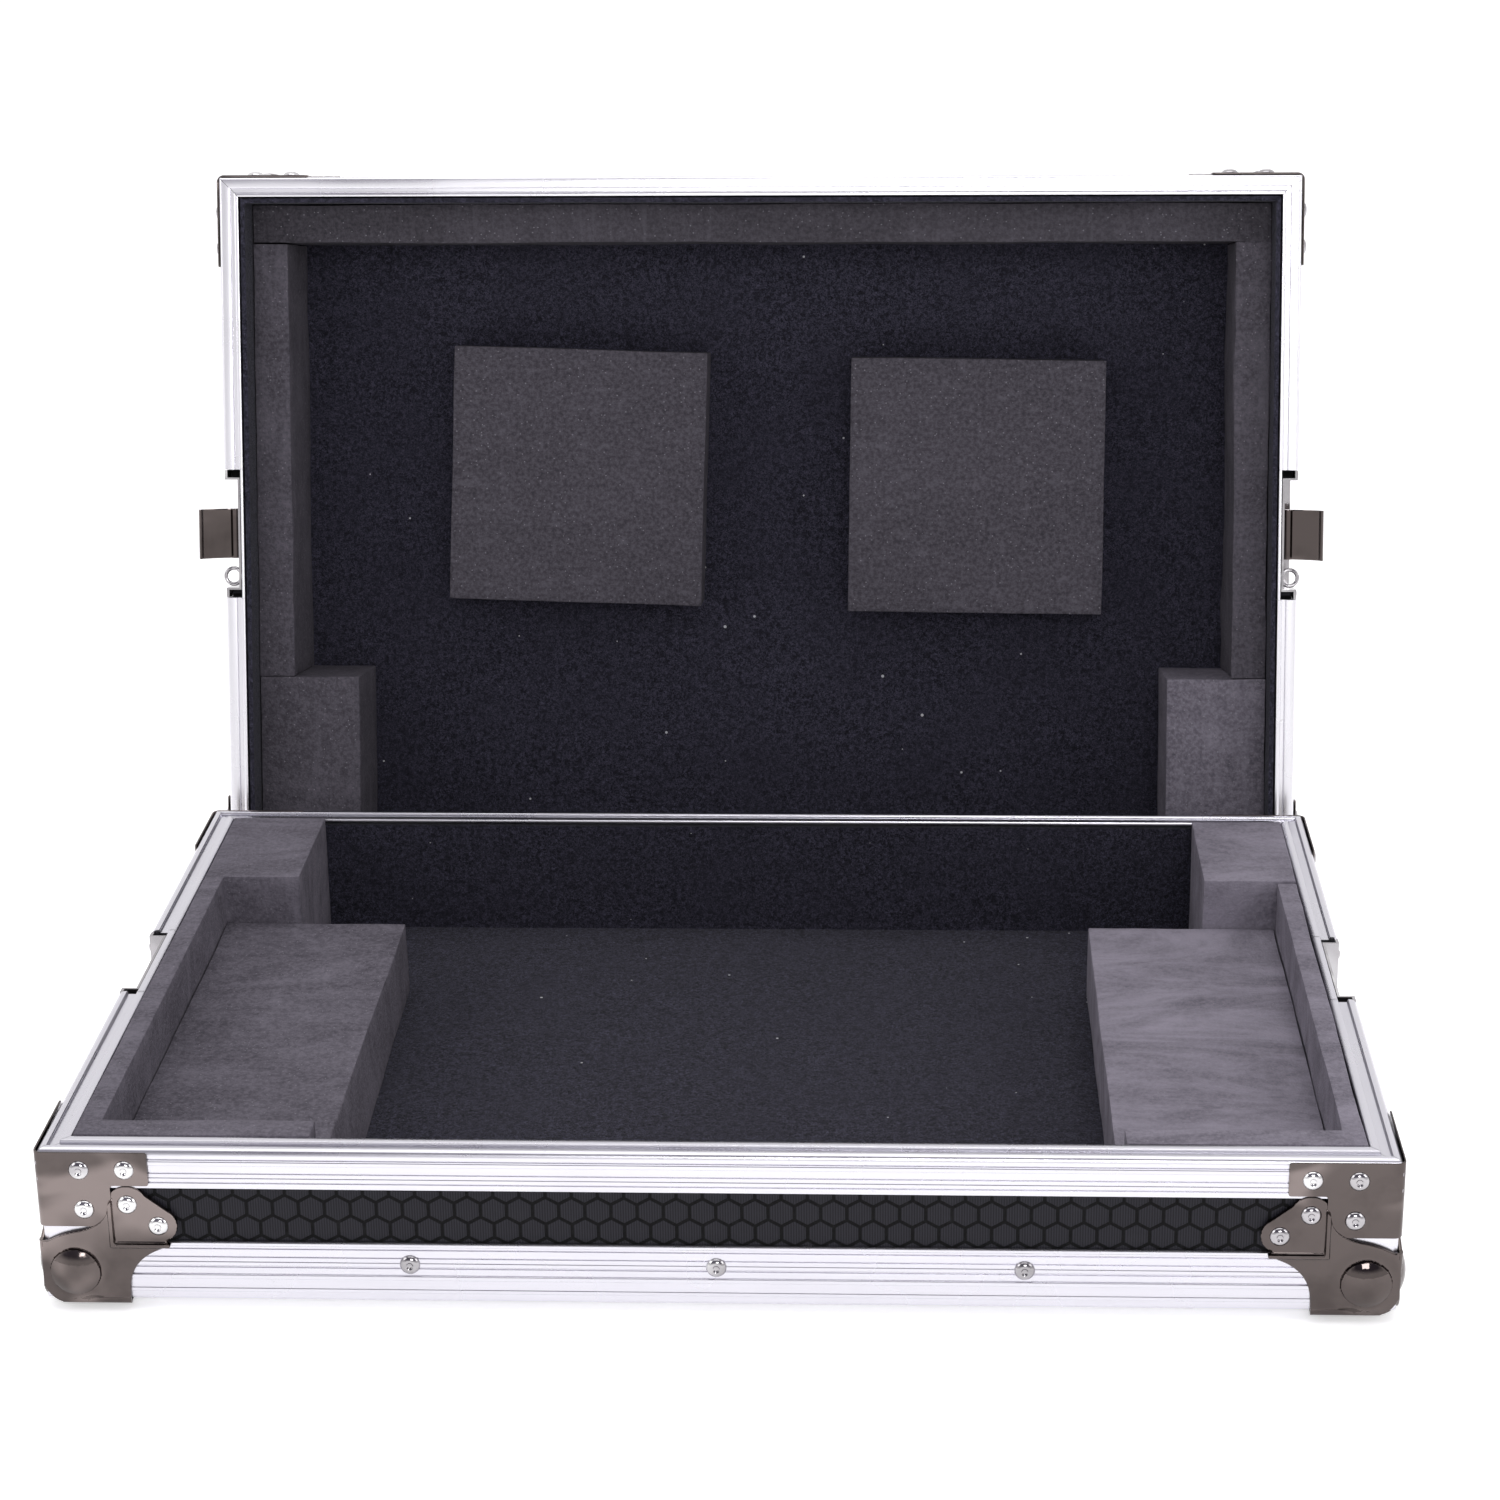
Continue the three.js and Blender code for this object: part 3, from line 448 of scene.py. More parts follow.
def lid_rim_section():
    """The lid's rim in (in from the outside, z)."""
    outer = [(s, down) for down, s in VALANCE_FACE]
    return outer + arc(1.6, 1.6, 1.6, 180, 270, 5) + [
        (5.6, 0), (6.1, 0.15), (6.4, 0.6), (6.5, 1.5), (8.4, 1.5), (8.5, 0.6), (8.75, 0.15), (9.1, 0),
        (10.5, 0), (10.85, 0.15), (11, 0.5), (11, 10), (1.9, 10), (1.9, VALANCE),
    ]


def lid_lip_section():
    """The inner edge of the lid's rim, which runs on past a latch."""
    return [(9.3, 10), (9.3, 0.4), (9.5, 0), (10.5, 0), (10.85, 0.15), (11, 0.5), (11, 10)]


def angle_section(to_up):
    """Both legs of the edge angle; to_up turns a height above the angle's flat leg into z."""
    upright = [(s, to_up(ANGLE - down)) for down, s in ANGLE_FACE]
    bend = [(s, to_up(h)) for s, h in arc(2.7, 2.7, 2.6, 180, 270, 6)]
    flat = [(ANGLE - down, to_up(s)) for down, s in reversed(ANGLE_FACE)]
    inside = [(ANGLE, to_up(SHEET)), (SHEET + 0.8, to_up(SHEET)), (SHEET, to_up(SHEET + 0.8)),
              (SHEET, to_up(ANGLE))]
    return upright + bend + flat + inside


MITRE_GAP = 0.15               # taken off each mitred end of a rim


def make_rims(part, section, lip):
    """Four rims with mitred ends; the side ones are cut away at the latch, save for the lip."""
    for side in SIDES:
        bm = bmesh.new()
        run = run_of(side)
        if side in ("front", "rear"):
            extrude_section(bm, side, section, MITRE_GAP, run - MITRE_GAP, True, True)
        else:
            extrude_section(bm, side, section, MITRE_GAP, MID - NOTCH, True, False)
            extrude_section(bm, side, section, MID + NOTCH, run - MITRE_GAP, False, True)
            extrude_section(bm, side, lip, MID - NOTCH - 0.5, MID + NOTCH + 0.5)
        material = ALU[part][0 if side in ("front", "rear") else 1]
        piece(f"{part}_rail_{side}", bm, part, material, nodes=[f"{part}_rim_{side}"])


def corner_post(bm, flip_x, flip_y, low, high):
    """A bent strip up a corner, between the edge angle and the rim."""
    plan = [(24, 0.25), (24, 1.8), (3.6, 1.8), (2.6, 2.0), (2.0, 2.6), (1.8, 3.6), (1.8, 24), (0.25, 24)]
    plan += arc(3.0, 3.0, 2.75, 180, 270, 5)
    rings = []
    for z in (low, high):
        ring = []
        for x, y in plan:
            px = -HALF + x if not flip_x else HALF - x
            py = y if not flip_y else DEPTH - y
            ring.append(bm.verts.new((px, py, z)))
        rings.append(ring)
    join_rings(bm, rings)


def make_frame(part, to_up, low, high):
    """The angles along the four outer edges, and the posts between them and the rim."""
    bm = bmesh.new()
    section = angle_section(to_up)
    for side in SIDES:
        long_side = side in ("front", "rear")
        extrude_section(bm, side, section, 0.1, run_of(side) - 0.1, True, True, 0 if long_side else 1)
    for flip_x in (False, True):
        for flip_y in (False, True):
            corner_post(bm, flip_x, flip_y, low, high)
    piece(f"{part}_angle", bm, part, list(ALU[part]), nodes=[f"{part}_edge_frame"])


make_rims("base", base_rim_section(), base_lip_section())
make_rims("lid", lid_rim_section(), lid_lip_section())
make_frame("base", lambda h: FOOT + h, FOOT + ANGLE - 1, RIM - VALANCE)
make_frame("lid", lambda h: LID_HEIGHT - h, VALANCE, LID_HEIGHT - ANGLE + 1)


# ------------------------------------------------------------------ corner braces
def rounded(points, radius, steps=4):
    """A closed outline with each corner rounded."""
    out = []
    count = len(points)
    for i, (x, y) in enumerate(points):
        before, after = Vector(points[i - 1]), Vector(points[(i + 1) % count])
        here = Vector((x, y))
        to_before, to_after = (before - here), (after - here)
        r = min(radius, to_before.length * 0.45, to_after.length * 0.45)
        p0, p1 = here + to_before.normalized() * r, here + to_after.normalized() * r
        for k in range(steps + 1):
            f = k / steps
            out.append(tuple((1 - f) ** 2 * p0 + 2 * f * (1 - f) * here + f * f * p1))
    return out


def bent_sheet(outline, bend, outside, thickness):
    """A flat outline in (t, h), bent round the corner at t = 0, as a sheet whose outer face stands outside.

    Positive t runs along the front and negative t along the left side of a front left corner.
    """
    bm = bmesh.new()
    bm.faces.new([bm.verts.new((t, 0, h)) for t, h in outline])
    cuts = [bend * k / 5 for k in range(-5, 6)]
    for cut in cuts:
        bmesh.ops.bisect_plane(bm, geom=bm.verts[:] + bm.edges[:] + bm.faces[:], plane_co=(cut, 0, 0),
                               plane_no=(1, 0, 0), dist=1e-4)
    solid = bmesh.ops.extrude_face_region(bm, geom=bm.faces[:])
    back = {v for v in solid["geom"] if isinstance(v, bmesh.types.BMVert)}
    for vert in bm.verts:
        t, h = vert.co.x, vert.co.z
        out = outside - thickness if vert in back else outside
        radius = bend * 4 / math.pi + out          # outer radius of the bend
        centre = bend * 4 / math.pi
        if t > bend:
            x, y = centre + (t - bend), -out
        elif t < -bend:
            x, y = -out, centre + (-t - bend)
        else:
            turn = math.pi / 4 + (t / bend) * math.pi / 4
            x, y = centre - radius * math.cos(turn), centre - radius * math.sin(turn)
        vert.co = (x, y, h)
    return bm


def soften(bm, width, segments=2, degrees=40):
    """Rounds the edges that turn sharply."""
    bmesh.ops.recalc_face_normals(bm, faces=bm.faces)
    edges = [e for e in bm.edges if len(e.link_faces) == 2 and e.calc_face_angle(0) > math.radians(degrees)]
    bmesh.ops.bevel(bm, geom=edges, offset=width, segments=segments, profile=0.6, affect="EDGES",
                    clamp_overlap=True)


CORNERS = {
    "front_left": (False, False), "front_right": (True, False),
    "rear_left": (False, True), "rear_right": (True, True),
}


def to_corner(bm, corner, to_z):
    """Moves a piece drawn for the front left corner's point at the origin to any corner."""
    flip_x, flip_y = CORNERS[corner]
    for vert in bm.verts:
        x, y, h = vert.co
        vert.co = (HALF - x if flip_x else -HALF + x, DEPTH - y if flip_y else y, to_z(h))


BRACE_OUTLINE = rounded([
    (-50, -0.9), (50, -0.9), (50, -17.6), (32.4, -17.6), (32.4, -38.3), (-32.4, -38.3), (-32.4, -17.6),
    (-50, -17.6),
], 1.4)


BRACE_BEND, BRACE_OUT, BRACE_THICK = 2.2, 1.25, 0.95


def make_braces(part, to_z):
    for corner in CORNERS:
        bm = bent_sheet(BRACE_OUTLINE, BRACE_BEND, BRACE_OUT, BRACE_THICK)
        soften(bm, 0.35)
        to_corner(bm, corner, to_z)
        piece(f"{part}_corner_brace_{corner}", bm, part, CHROME,
              nodes=[f"{part}_brace_{corner}"])


make_braces("base", lambda h: RIM + h)
make_braces("lid", lambda h: -h)


# ------------------------------------------------------------------ ball corners
EAR_NEAR, EAR_FAR = (40.0, 49.3), (53.5, 38.6)     # the ear's two rivets, (along, up)
PLATE_OUT, EAR_OUT, RIB_OUT, UNDER_OUT = 1.8, 0.75, 3.0, 1.4
PLATE_EDGE, EDGE_ROUND = -2.0, 3.5                 # where the plates end, and the radius of their edges
MOAT_LEVEL, MOAT_FLAT, MOAT_SLOPE = -0.6, 1.2, 3.0


def add_prism(bm, outline, axis, low, high):
    """A closed prism of an outline in the two axes other than the given one."""
    order = {"x": (1, 2, 0), "y": (0, 2, 1), "z": (0, 1, 2)}[axis]
    rings = []
    for at in (low, high):
        ring = []
        for u, v in outline:
            place = [0.0, 0.0, 0.0]
            place[order[0]], place[order[1]], place[order[2]] = u, v, at
            ring.append(bm.verts.new(place))
        rings.append(ring)
    join_rings(bm, rings)


def curve(p0, p1, p2, steps=8):
    """A quadratic curve, without its first point."""
    return [((1 - f) ** 2 * p0[0] + 2 * f * (1 - f) * p1[0] + f * f * p2[0],
             (1 - f) ** 2 * p0[1] + 2 * f * (1 - f) * p1[1] + f * f * p2[1])
            for f in (k / steps for k in range(1, steps + 1))]


# (along, up) from the corner's point: the plate, the lower ear, and the rib between them
ROUND = arc(13.0, 13.0, 15.0, 180, 270, 8)
FLARE = (curve((31.0, 46.0), (28.0, 38.6), (18.0, 36.2))
         + curve((18.0, 36.2), (8.0, 34.4), (2.0, 30.6)))
PLATE = (ROUND + [(38.5, -2.0), (39.0, 9.0)] + curve((39.0, 9.0), (41.0, 24.0), (58.0, 28.2))
         + [(58.5, 29.6), (32.6, 29.6), (32.6, 49.0), (31.0, 48.0)] + FLARE + [(-2.0, 30.6)])
RIB = [(31.4, 28.2), (58.4, 28.2), (58.8, 29.9), (33.2, 29.9), (33.2, 52.0), (31.4, 50.0)]
EAR = ([(30.8, 28.6), (52.0, 28.8)] + arc(*EAR_FAR, 8.6, -88, 62, 10)
       + arc(*EAR_NEAR, 9.2, 28, 168, 10) + [(30.8, 49.0)])


def remeshed(bm, voxel, smooth, factor=0.5):
    """The outer skin of overlapping closed pieces, blended where they meet."""
    mesh = bpy.data.meshes.new("skin")
    bm.to_mesh(mesh)
    bm.free()
    obj = placed("skin", mesh)
    blend = obj.modifiers.new("blend", "REMESH")
    blend.mode = "VOXEL"
    blend.voxel_size = voxel
    if smooth:
        relax = obj.modifiers.new("relax", "SMOOTH")
        relax.iterations = smooth
        relax.factor = factor
    out = evaluated(obj)
    bpy.data.objects.remove(obj)
    bpy.data.meshes.remove(mesh)
    return out


def sink_round_ball(skin):
    """A shallow moat in the plates round the ball."""
    for vert in skin.verts:
        co = vert.co
        gap = (co - BALL_CENTRE).length - BALL_RADIUS
        lowest = min(co)
        if lowest < -0.7 and 0.1 < gap < MOAT_FLAT + MOAT_SLOPE:
            rise = min(1.0, max(0.0, (gap - MOAT_FLAT) / MOAT_SLOPE))
            co[list(co).index(lowest)] = MOAT_LEVEL + (lowest - MOAT_LEVEL) * rise


def round_plate_edges(skin):
    """Pulls the plates' three meeting edges in to a radius; the ball stays as it is."""
    for vert in skin.verts:
        if (vert.co - BALL_CENTRE).length <= BALL_RADIUS + 0.3:
            continue
        pulls = [max(0.0, EDGE_ROUND - (c - PLATE_EDGE)) for c in vert.co]
        close = sorted(range(3), key=lambda k: -pulls[k])[:2]
        reach = math.hypot(*(pulls[k] for k in close))
        if pulls[close[1]] > 0.2 and reach > EDGE_ROUND:
            co = list(vert.co)
            for k in close:
                co[k] = PLATE_EDGE + EDGE_ROUND - pulls[k] * EDGE_ROUND / reach
            vert.co = co


def ball_corner_skin():
    """One pressed corner for the front left, with its point at the origin, hollow behind."""
    bm = bmesh.new()
    inside = 2.0
    for outline, out in ((PLATE, PLATE_OUT), (EAR, EAR_OUT), (RIB, RIB_OUT)):
        add_prism(bm, outline, "y", -out, inside)
        add_prism(bm, outline, "x", -out, inside)
    under = (ROUND + [(38.5, PLATE_EDGE), (38.5, 8)] + arc(38.5, 38.5, 24, 262, 188, 8)
             + [(8, 38.5), (PLATE_EDGE, 38.5)])
    add_prism(bm, under, "z", -UNDER_OUT, inside)
    bmesh.ops.create_uvsphere(bm, u_segments=48, v_segments=32, radius=BALL_RADIUS,
                              matrix=Matrix.Translation(BALL_CENTRE))
    bmesh.ops.recalc_face_normals(bm, faces=bm.faces)
    skin = remeshed(bm, 0.5, 3)
    sink_round_ball(skin)
    round_plate_edges(skin)
    mesh = bpy.data.meshes.new("corner")
    skin.to_mesh(mesh)
    skin.free()
    obj = placed("corner", mesh)
    # cut away what the case itself fills
    room = bpy.data.meshes.new("room")
    bm = bmesh.new()
    for low, high in (((-0.2, -0.2, -0.2), (90, 90, 30.2)), ((-0.2, -0.2, -0.2), (30.4, 30.4, 90)),
                      ((1.6, 1.6, -0.2), (90, 90, 90))):
        size = Vector(high) - Vector(low)
        bmesh.ops.create_cube(bm, size=1, matrix=Matrix.Translation((Vector(low) + Vector(high)) / 2)
                              @ Matrix.Diagonal((*size, 1)))
    bm.to_mesh(room)
    bm.free()
    cutter = placed("room", room)
    cut = obj.modifiers.new("cut", "BOOLEAN")
    cut.operation, cut.solver, cut.object = "DIFFERENCE", "EXACT", cutter
    cut.use_self = True
    thin = obj.modifiers.new("thin", "DECIMATE")
    thin.ratio = 0.22
    out = evaluated(obj)
    for used in (obj, cutter):
        bpy.data.objects.remove(used)
    return out


corner_mesh = bpy.data.meshes.new("corner_skin")
skin_bm = ball_corner_skin()
skin_bm.to_mesh(corner_mesh)
skin_bm.free()


def make_ball_corners(part, to_z):
    for corner in CORNERS:
        bm = bmesh.new()
        bm.from_mesh(corner_mesh)
        to_corner(bm, corner, to_z)
        piece(f"{part}_corner_ball_{corner}", bm, part, CHROME, smooth=38,
              nodes=[f"{part}_ball_corner_{corner}"])


make_ball_corners("base", lambda h: FOOT + h)
make_ball_corners("lid", lambda h: LID_HEIGHT - h)


# ------------------------------------------------------------------ rivets
# a blind rivet's head, (radius, height)
RIVET = [(0.0, 1.0), (0.9, 1.0), (1.35, 1.25), (1.75, 1.75), (2.3, 1.95), (3.1, 1.75), (3.9, 1.25),
         (4.45, 0.65), (4.7, 0.1), (4.7, -0.4)]


def add_rivet(bm, centre, axis, scale=1.0, steps=20):
    axis = axis.normalized()
    side = axis.orthogonal().normalized()
    other = axis.cross(side)
    tip = bm.verts.new(centre + axis * RIVET[0][1] * scale)
    last = None
    angles = [2 * math.pi * k / steps for k in range(steps)]
    for r, h in RIVET[1:]:
        ring = [bm.verts.new(centre + axis * h * scale
                             + (side * math.cos(a) + other * math.sin(a)) * r * scale) for a in angles]
        for k in range(steps):
            nxt = (k + 1) % steps
            if last is None:
                bm.faces.new((tip, ring[k], ring[nxt]))
            else:
                bm.faces.new((last[k], ring[k], ring[nxt], last[nxt]))
        last = ring
    bm.faces.new(last[::-1])


BRACE_RIVETS = ((19.5, 9.7), (40.0, 9.5), (20.5, 29.5))          # (along, down from the rim)
FACE_RIVETS = {WIDTH: (167, 306, 445), DEPTH: (112, 293)}         # along the angle's upright leg
FLAT_RIVETS = {WIDTH: (120, 213, 306, 399, 492), DEPTH: (105, 202.5, 300)}


def rivets(part, to_z, corner_z):
    """Every rivet of the braces, ears and edge angles; heights start at the rim and at the angle."""
    bm = bmesh.new()
    for side in SIDES:
        run = run_of(side)
        out_of = on_side(side, 0, -1, 0) - on_side(side, 0, 0, 0)
        for flip in (False, True):
            for along, down in BRACE_RIVETS:
                t = run - along if flip else along
                add_rivet(bm, on_side(side, t, -BRACE_OUT, to_z(-down)), out_of)
            for along, up in (EAR_NEAR, EAR_FAR):
                t = run - along if flip else along
                add_rivet(bm, on_side(side, t, -EAR_OUT, corner_z(up)), out_of)
        for t in FACE_RIVETS[run]:
            add_rivet(bm, on_side(side, t, 0.0, corner_z(19.6)), out_of)
        outward = Vector((0, 0, corner_z(-1) - corner_z(0)))
        for t in FLAT_RIVETS[run]:
            add_rivet(bm, on_side(side, t, 17.0, corner_z(0.0)), outward)
    piece(f"{part}_rivets", bm, part, CHROME_BRIGHT, smooth=50)


rivets("base", lambda h: RIM + h, lambda h: FOOT + h)
rivets("lid", lambda h: -h, lambda h: LID_HEIGHT - h)


# ------------------------------------------------------------------ panels
for part in ("base", "lid"):
    for which, plane in (("front", "xz"), ("rear", "xz"), ("left", "yz"), ("right", "yz"),
                         ("floor" if part == "base" else "top", "xy")):
        node = frame["nodes"][f"{part}_{which}_panel"]
        node.data.materials.clear()
        node.data.materials.append(HEX[part, plane])


# ------------------------------------------------------------------ felt linings
def wavy(co, size, amount, seed):
    """A smooth unevenness of a given size, repeatable for a seed."""
    return noise.noise(Vector(co) / size + Vector((seed, 2.3 * seed, 0.7 * seed))) * amount


def make_lining(part, inset, top, bottom, thickness, node):
    """The felt as one skin over the inside faces, with its raw edge under the rim."""
    bm = bmesh.new()
    x0, x1, y0, y1 = -HALF + inset, HALF - inset, inset, DEPTH - inset
    step = 9.0

    def grid(origin, along, up):
        n_a, n_u = max(1, round(along.length / step)), max(1, round(up.length / step))
        rows = [[bm.verts.new(origin + along * (i / n_a) + up * (j / n_u)) for i in range(n_a + 1)]
                for j in range(n_u + 1)]
        for j in range(n_u):
            for i in range(n_a):
                bm.faces.new((rows[j][i], rows[j][i + 1], rows[j + 1][i + 1], rows[j + 1][i]))

    rise = Vector((0, 0, top - bottom))
    grid(Vector((x0, y0, bottom)), Vector((x1 - x0, 0, 0)), Vector((0, y1 - y0, 0)))
    grid(Vector((x0, y0, bottom)), Vector((x1 - x0, 0, 0)), rise)
    grid(Vector((x0, y1, bottom)), Vector((x1 - x0, 0, 0)), rise)
    grid(Vector((x0, y0, bottom)), Vector((0, y1 - y0, 0)), rise)
    grid(Vector((x1, y0, bottom)), Vector((0, y1 - y0, 0)), rise)
    bmesh.ops.remove_doubles(bm, verts=bm.verts, dist=0.01)
    area = sum(f.calc_area() for f in bm.faces) / 1e6
    inner = Vector((0, MID, (top + bottom) / 2))
    bmesh.ops.recalc_face_normals(bm, faces=bm.faces)
    some = bm.faces[:][0]
    if some.normal.dot(inner - some.calc_center_median()) < 0:
        bmesh.ops.reverse_faces(bm, faces=bm.faces)
    bm.normal_update()
    skin = [(v, v.normal.copy()) for v in bm.verts]
    for vert, normal in skin:
        vert.co += normal * wavy(vert.co, 60, 0.35, 3)
    back = bmesh.ops.extrude_face_region(bm, geom=bm.faces[:])
    for item in back["geom"]:
        if isinstance(item, bmesh.types.BMVert):
            x = min(max(item.co.x, x0), x1)
            y = min(max(item.co.y, y0), y1)
            near = [abs(x - x0), abs(x - x1), abs(y - y0), abs(y - y1)]
            if near[0] < 2:
                item.co.x = x0 - thickness
            if near[1] < 2:
                item.co.x = x1 + thickness
            if near[2] < 2:
                item.co.y = y0 - thickness
            if near[3] < 2:
                item.co.y = y1 + thickness
            if abs(item.co.z - bottom) < 1.5:
                item.co.z = bottom - math.copysign(thickness, top - bottom) * 0.6
    obj = piece(f"{part}_felt", bm, part, FELT[part], smooth=50, nodes=[node])


make_lining("base", 13.2, RIM - 3.7, 14.9, 2.8, "base_lining")
make_lining("lid", 14.5, 1.0, 82.6, 2.6, "lid_lining")


# ------------------------------------------------------------------ foam
def make_foam(name, part, outline, low, high, node, material, ragged=0.5, shape=None):
    """Foam cut with a wire: a prism with crisp arrises and faces that are a little uneven."""
    bm = bmesh.new()
    add_prism(bm, outline, "z", min(low, high), max(low, high))
    soften(bm, 0.8, 2, 30)
    for axis in range(3):
        lows = min(v.co[axis] for v in bm.verts)
        highs = max(v.co[axis] for v in bm.verts)
        count = max(2, round((highs - lows) / 7.5))
        normal = [0.0, 0.0, 0.0]
        normal[axis] = 1.0
        for k in range(1, count):
            at = [0.0, 0.0, 0.0]
            at[axis] = lows + (highs - lows) * k / count
            bmesh.ops.bisect_plane(bm, geom=bm.verts[:] + bm.edges[:] + bm.faces[:], plane_co=at,
                                   plane_no=normal, dist=1e-3)
    bm.normal_update()
    seed = float(sum(map(ord, name)) % 37)
    moves = [(v, v.normal.copy(), v.co.copy()) for v in bm.verts]
    for vert, normal, co in moves:
        wave = wavy(co, 70, ragged, seed) + wavy(co, 24, ragged * 0.5, seed + 5)
        vert.co = co + normal * wave
        if shape:
            shape(vert, co)
    obj = piece(name, bm, part, material, smooth=50, nodes=[node])
    return obj


def path(*points):
    """An outline from distances in from the left and front faces."""
    return [(-HALF + x, y) for x, y in points]


def block(x0, x1, y0, y1):
    return path((x0, y0), (x1, y0), (x1, y1), (x0, y1))


# Copies of one foam, each set lighter or darker and more or less chalky for its pieces: the right-hand pieces
# paler, the lid's pieces darker.
FOAM_SLAB = foam_look("foam_slab", "base", 0.30, (60, 60, 9))
FOAM_SLAB_PALE = foam_look("foam_slab_pale", "base", 0.80, (60, 60, 9), 1.3)
FOAM_EDGE = foam_look("foam_edge", "base", 0.42, (60, 60, 9), 1.0)
FOAM_EDGE_PALE = foam_look("foam_edge_pale", "base", 0.72, (60, 60, 9), 1.42)
FOAM_LID = foam_look("foam_lid", "lid", 0.10, (170, 9, 9), 0.50)
FOAM_LID_SIDE = foam_look("foam_lid_side", "lid", 0.14, (60, 9, 60), 0.72)
FOAM_LID_PALE = foam_look("foam_lid_pale", "lid", 0.34, (40, 9, 40), 1.35)
FOAM_PAD = foam_look("foam_pad", "lid", 0.05, (90, 140, 90), 0.70)

BASE_LOW, SLAB_TOP = 15.2, 54.8
EDGE_TOP = RIM + 0.7
make_foam("base_left_surround", "base", path(
    (13.9, 13.9), (122, 13.9), (122, 28.3), (24.3, 28.3), (24.3, 308), (65, 308), (65, 391.1),
    (13.9, 391.1),
), BASE_LOW, EDGE_TOP, "base_foam_left_surround", FOAM_EDGE)
make_foam("base_right_block", "base", block(549.3, 598.1, 308.4, 391.1), BASE_LOW, EDGE_TOP + 0.3,
          "base_foam_right_block", FOAM_EDGE_PALE)
make_foam("base_right_surround", "base", path(
    (490, 13.9), (598.1, 13.9), (598.1, 306.8), (587.8, 306.8), (587.8, 28.3), (490, 28.3),
), BASE_LOW, EDGE_TOP - 0.3, "base_foam_right_surround", FOAM_EDGE_PALE, 0.9)


def flare(vert, co):
    """The slab's free side spreads a little towards its foot and its front."""
    x = co.x + HALF
    if x > 73:
        side = max(0.0, min(1.0, (x - 113) / 8))
        down = max(0.0, (55 - co.z) / 40)
        front = max(0.0, (308 - co.y) / 280)
        vert.co.x += side * 6.0 * down * front


make_foam("base_left_slab", "base", block(24.9, 121.4, 29.0, 307.2), BASE_LOW, SLAB_TOP,
          "base_foam_left_slab", FOAM_SLAB, 0.7, shape=flare)
make_foam("base_right_slab", "base", block(488.4, 587.0, 29.0, 307.2), BASE_LOW, SLAB_TOP,
          "base_foam_right_slab", FOAM_SLAB_PALE, 0.7)

LID_BACK = 82.2


def lid_block(u0, u1, v0, v1):
    """An outline in the lid, from distances in from the left side and up from the hinge side."""
    return block(u0, u1, DEPTH - v1, DEPTH - v0)


def turned(u, v, degrees, half=74):
    """The outline of a square pad that was glued in a little askew."""
    angle = math.radians(degrees)
    out = []
    for a, b in ((-half, -half), (half, -half), (half, half), (-half, half)):
        x = a * math.cos(angle) - b * math.sin(angle)
        y = a * math.sin(angle) + b * math.cos(angle)
        out.append((-HALF + u + x, DEPTH - v + y))
    return out


for name, outline, face, material, ragged in (
        ("lid_top_strip", lid_block(15, 597, 368.3, 390.1), 21.0, FOAM_LID, 0.8),
        ("lid_left_strip", lid_block(15, 35, 118.3, 367.9), 21.0, FOAM_LID_SIDE, 0.9),
        ("lid_right_strip", lid_block(577.5, 597, 118.3, 367.9), 21.2, FOAM_LID_SIDE, 1.9),
        ("lid_left_block", lid_block(15, 72.5, 15, 117.9), 20.7, FOAM_LID_SIDE, 0.7),
        ("lid_right_block", lid_block(540.5, 597, 15, 117.9), 20.7, FOAM_LID_PALE, 0.7),
        ("lid_left_pad", turned(198.3, 233.2, 1.7), 49.5, FOAM_PAD, 0.45),
        ("lid_right_pad", turned(431.2, 227.3, 0.7), 49.5, FOAM_PAD, 0.45)):
    make_foam(name, "lid", outline, face, LID_BACK, name.replace("lid_", "lid_foam_"), material, ragged)


# ------------------------------------------------------------------ latches and handle
def keep(node, material, bevel=0.35, segments=2):
    """Shows the frame's own solid, with its edges rounded."""
    obj = frame["nodes"][node]
    obj.data.materials.clear()
    obj.data.materials.append(material)
    edge = obj.modifiers.new("edges", "BEVEL")
    edge.width = bevel / 1000
    edge.segments = segments
    edge.limit_method = "ANGLE"
    edge.angle_limit = math.radians(40)


for side_name in ("left", "right"):
    keep(f"keeper_dish_{side_name}", CHROME_BRIGHT)
    keep(f"latch_dish_{side_name}", CHROME_BRIGHT)
keep("handle_dish", BLACK, 0.8, 3)

HOOK_PIVOT = (5.0, 6.0)
HOOK_OPEN = math.radians(60)


def hook_outline():
    """Side view of the hook in (in, up from the rim): barrel, bowed plate and rolled lip."""
    outer = [(3.0, 5.0), (2.6, 1.0), (2.4, -4.0), (2.6, -9.0), (3.1, -12.6), (3.9, -14.9), (5.0, -15.7),
             (6.3, -15.5)]
    inner = [(6.5, -14.6), (5.4, -14.4), (4.8, -13.7), (4.3, -12.0), (3.9, -9.0), (3.7, -4.0), (3.9, 0.6),
             (4.6, 3.4)]
    return outer + inner + arc(*HOOK_PIVOT, 2.3, -70, 205, 12)


def make_hook(side_name, sign):
    """The hook plate, swung open about its barrel."""
    bm = bmesh.new()
    outline = []
    cos, sin = math.cos(-HOOK_OPEN), math.sin(-HOOK_OPEN)
    for s, w in hook_outline():
        ds, dw = s - HOOK_PIVOT[0], w - HOOK_PIVOT[1]
        outline.append((HOOK_PIVOT[0] + ds * cos - dw * sin, HOOK_PIVOT[1] + ds * sin + dw * cos))
    rings = []
    for y in (-14.2, -13.4, 13.4, 14.2):
        rings.append([bm.verts.new((sign * (-HALF + s), MID + y, w)) for s, w in outline])
    join_rings(bm, rings)
    soften(bm, 0.3, 2, 50)
    node = f"latch_hook_{side_name}"
    piece(f"hook_{side_name}", bm, "lid", CHROME, body=node, smooth=45, nodes=[node])


WING_UP = 23.0                 # the wing's axis above the lid's rim


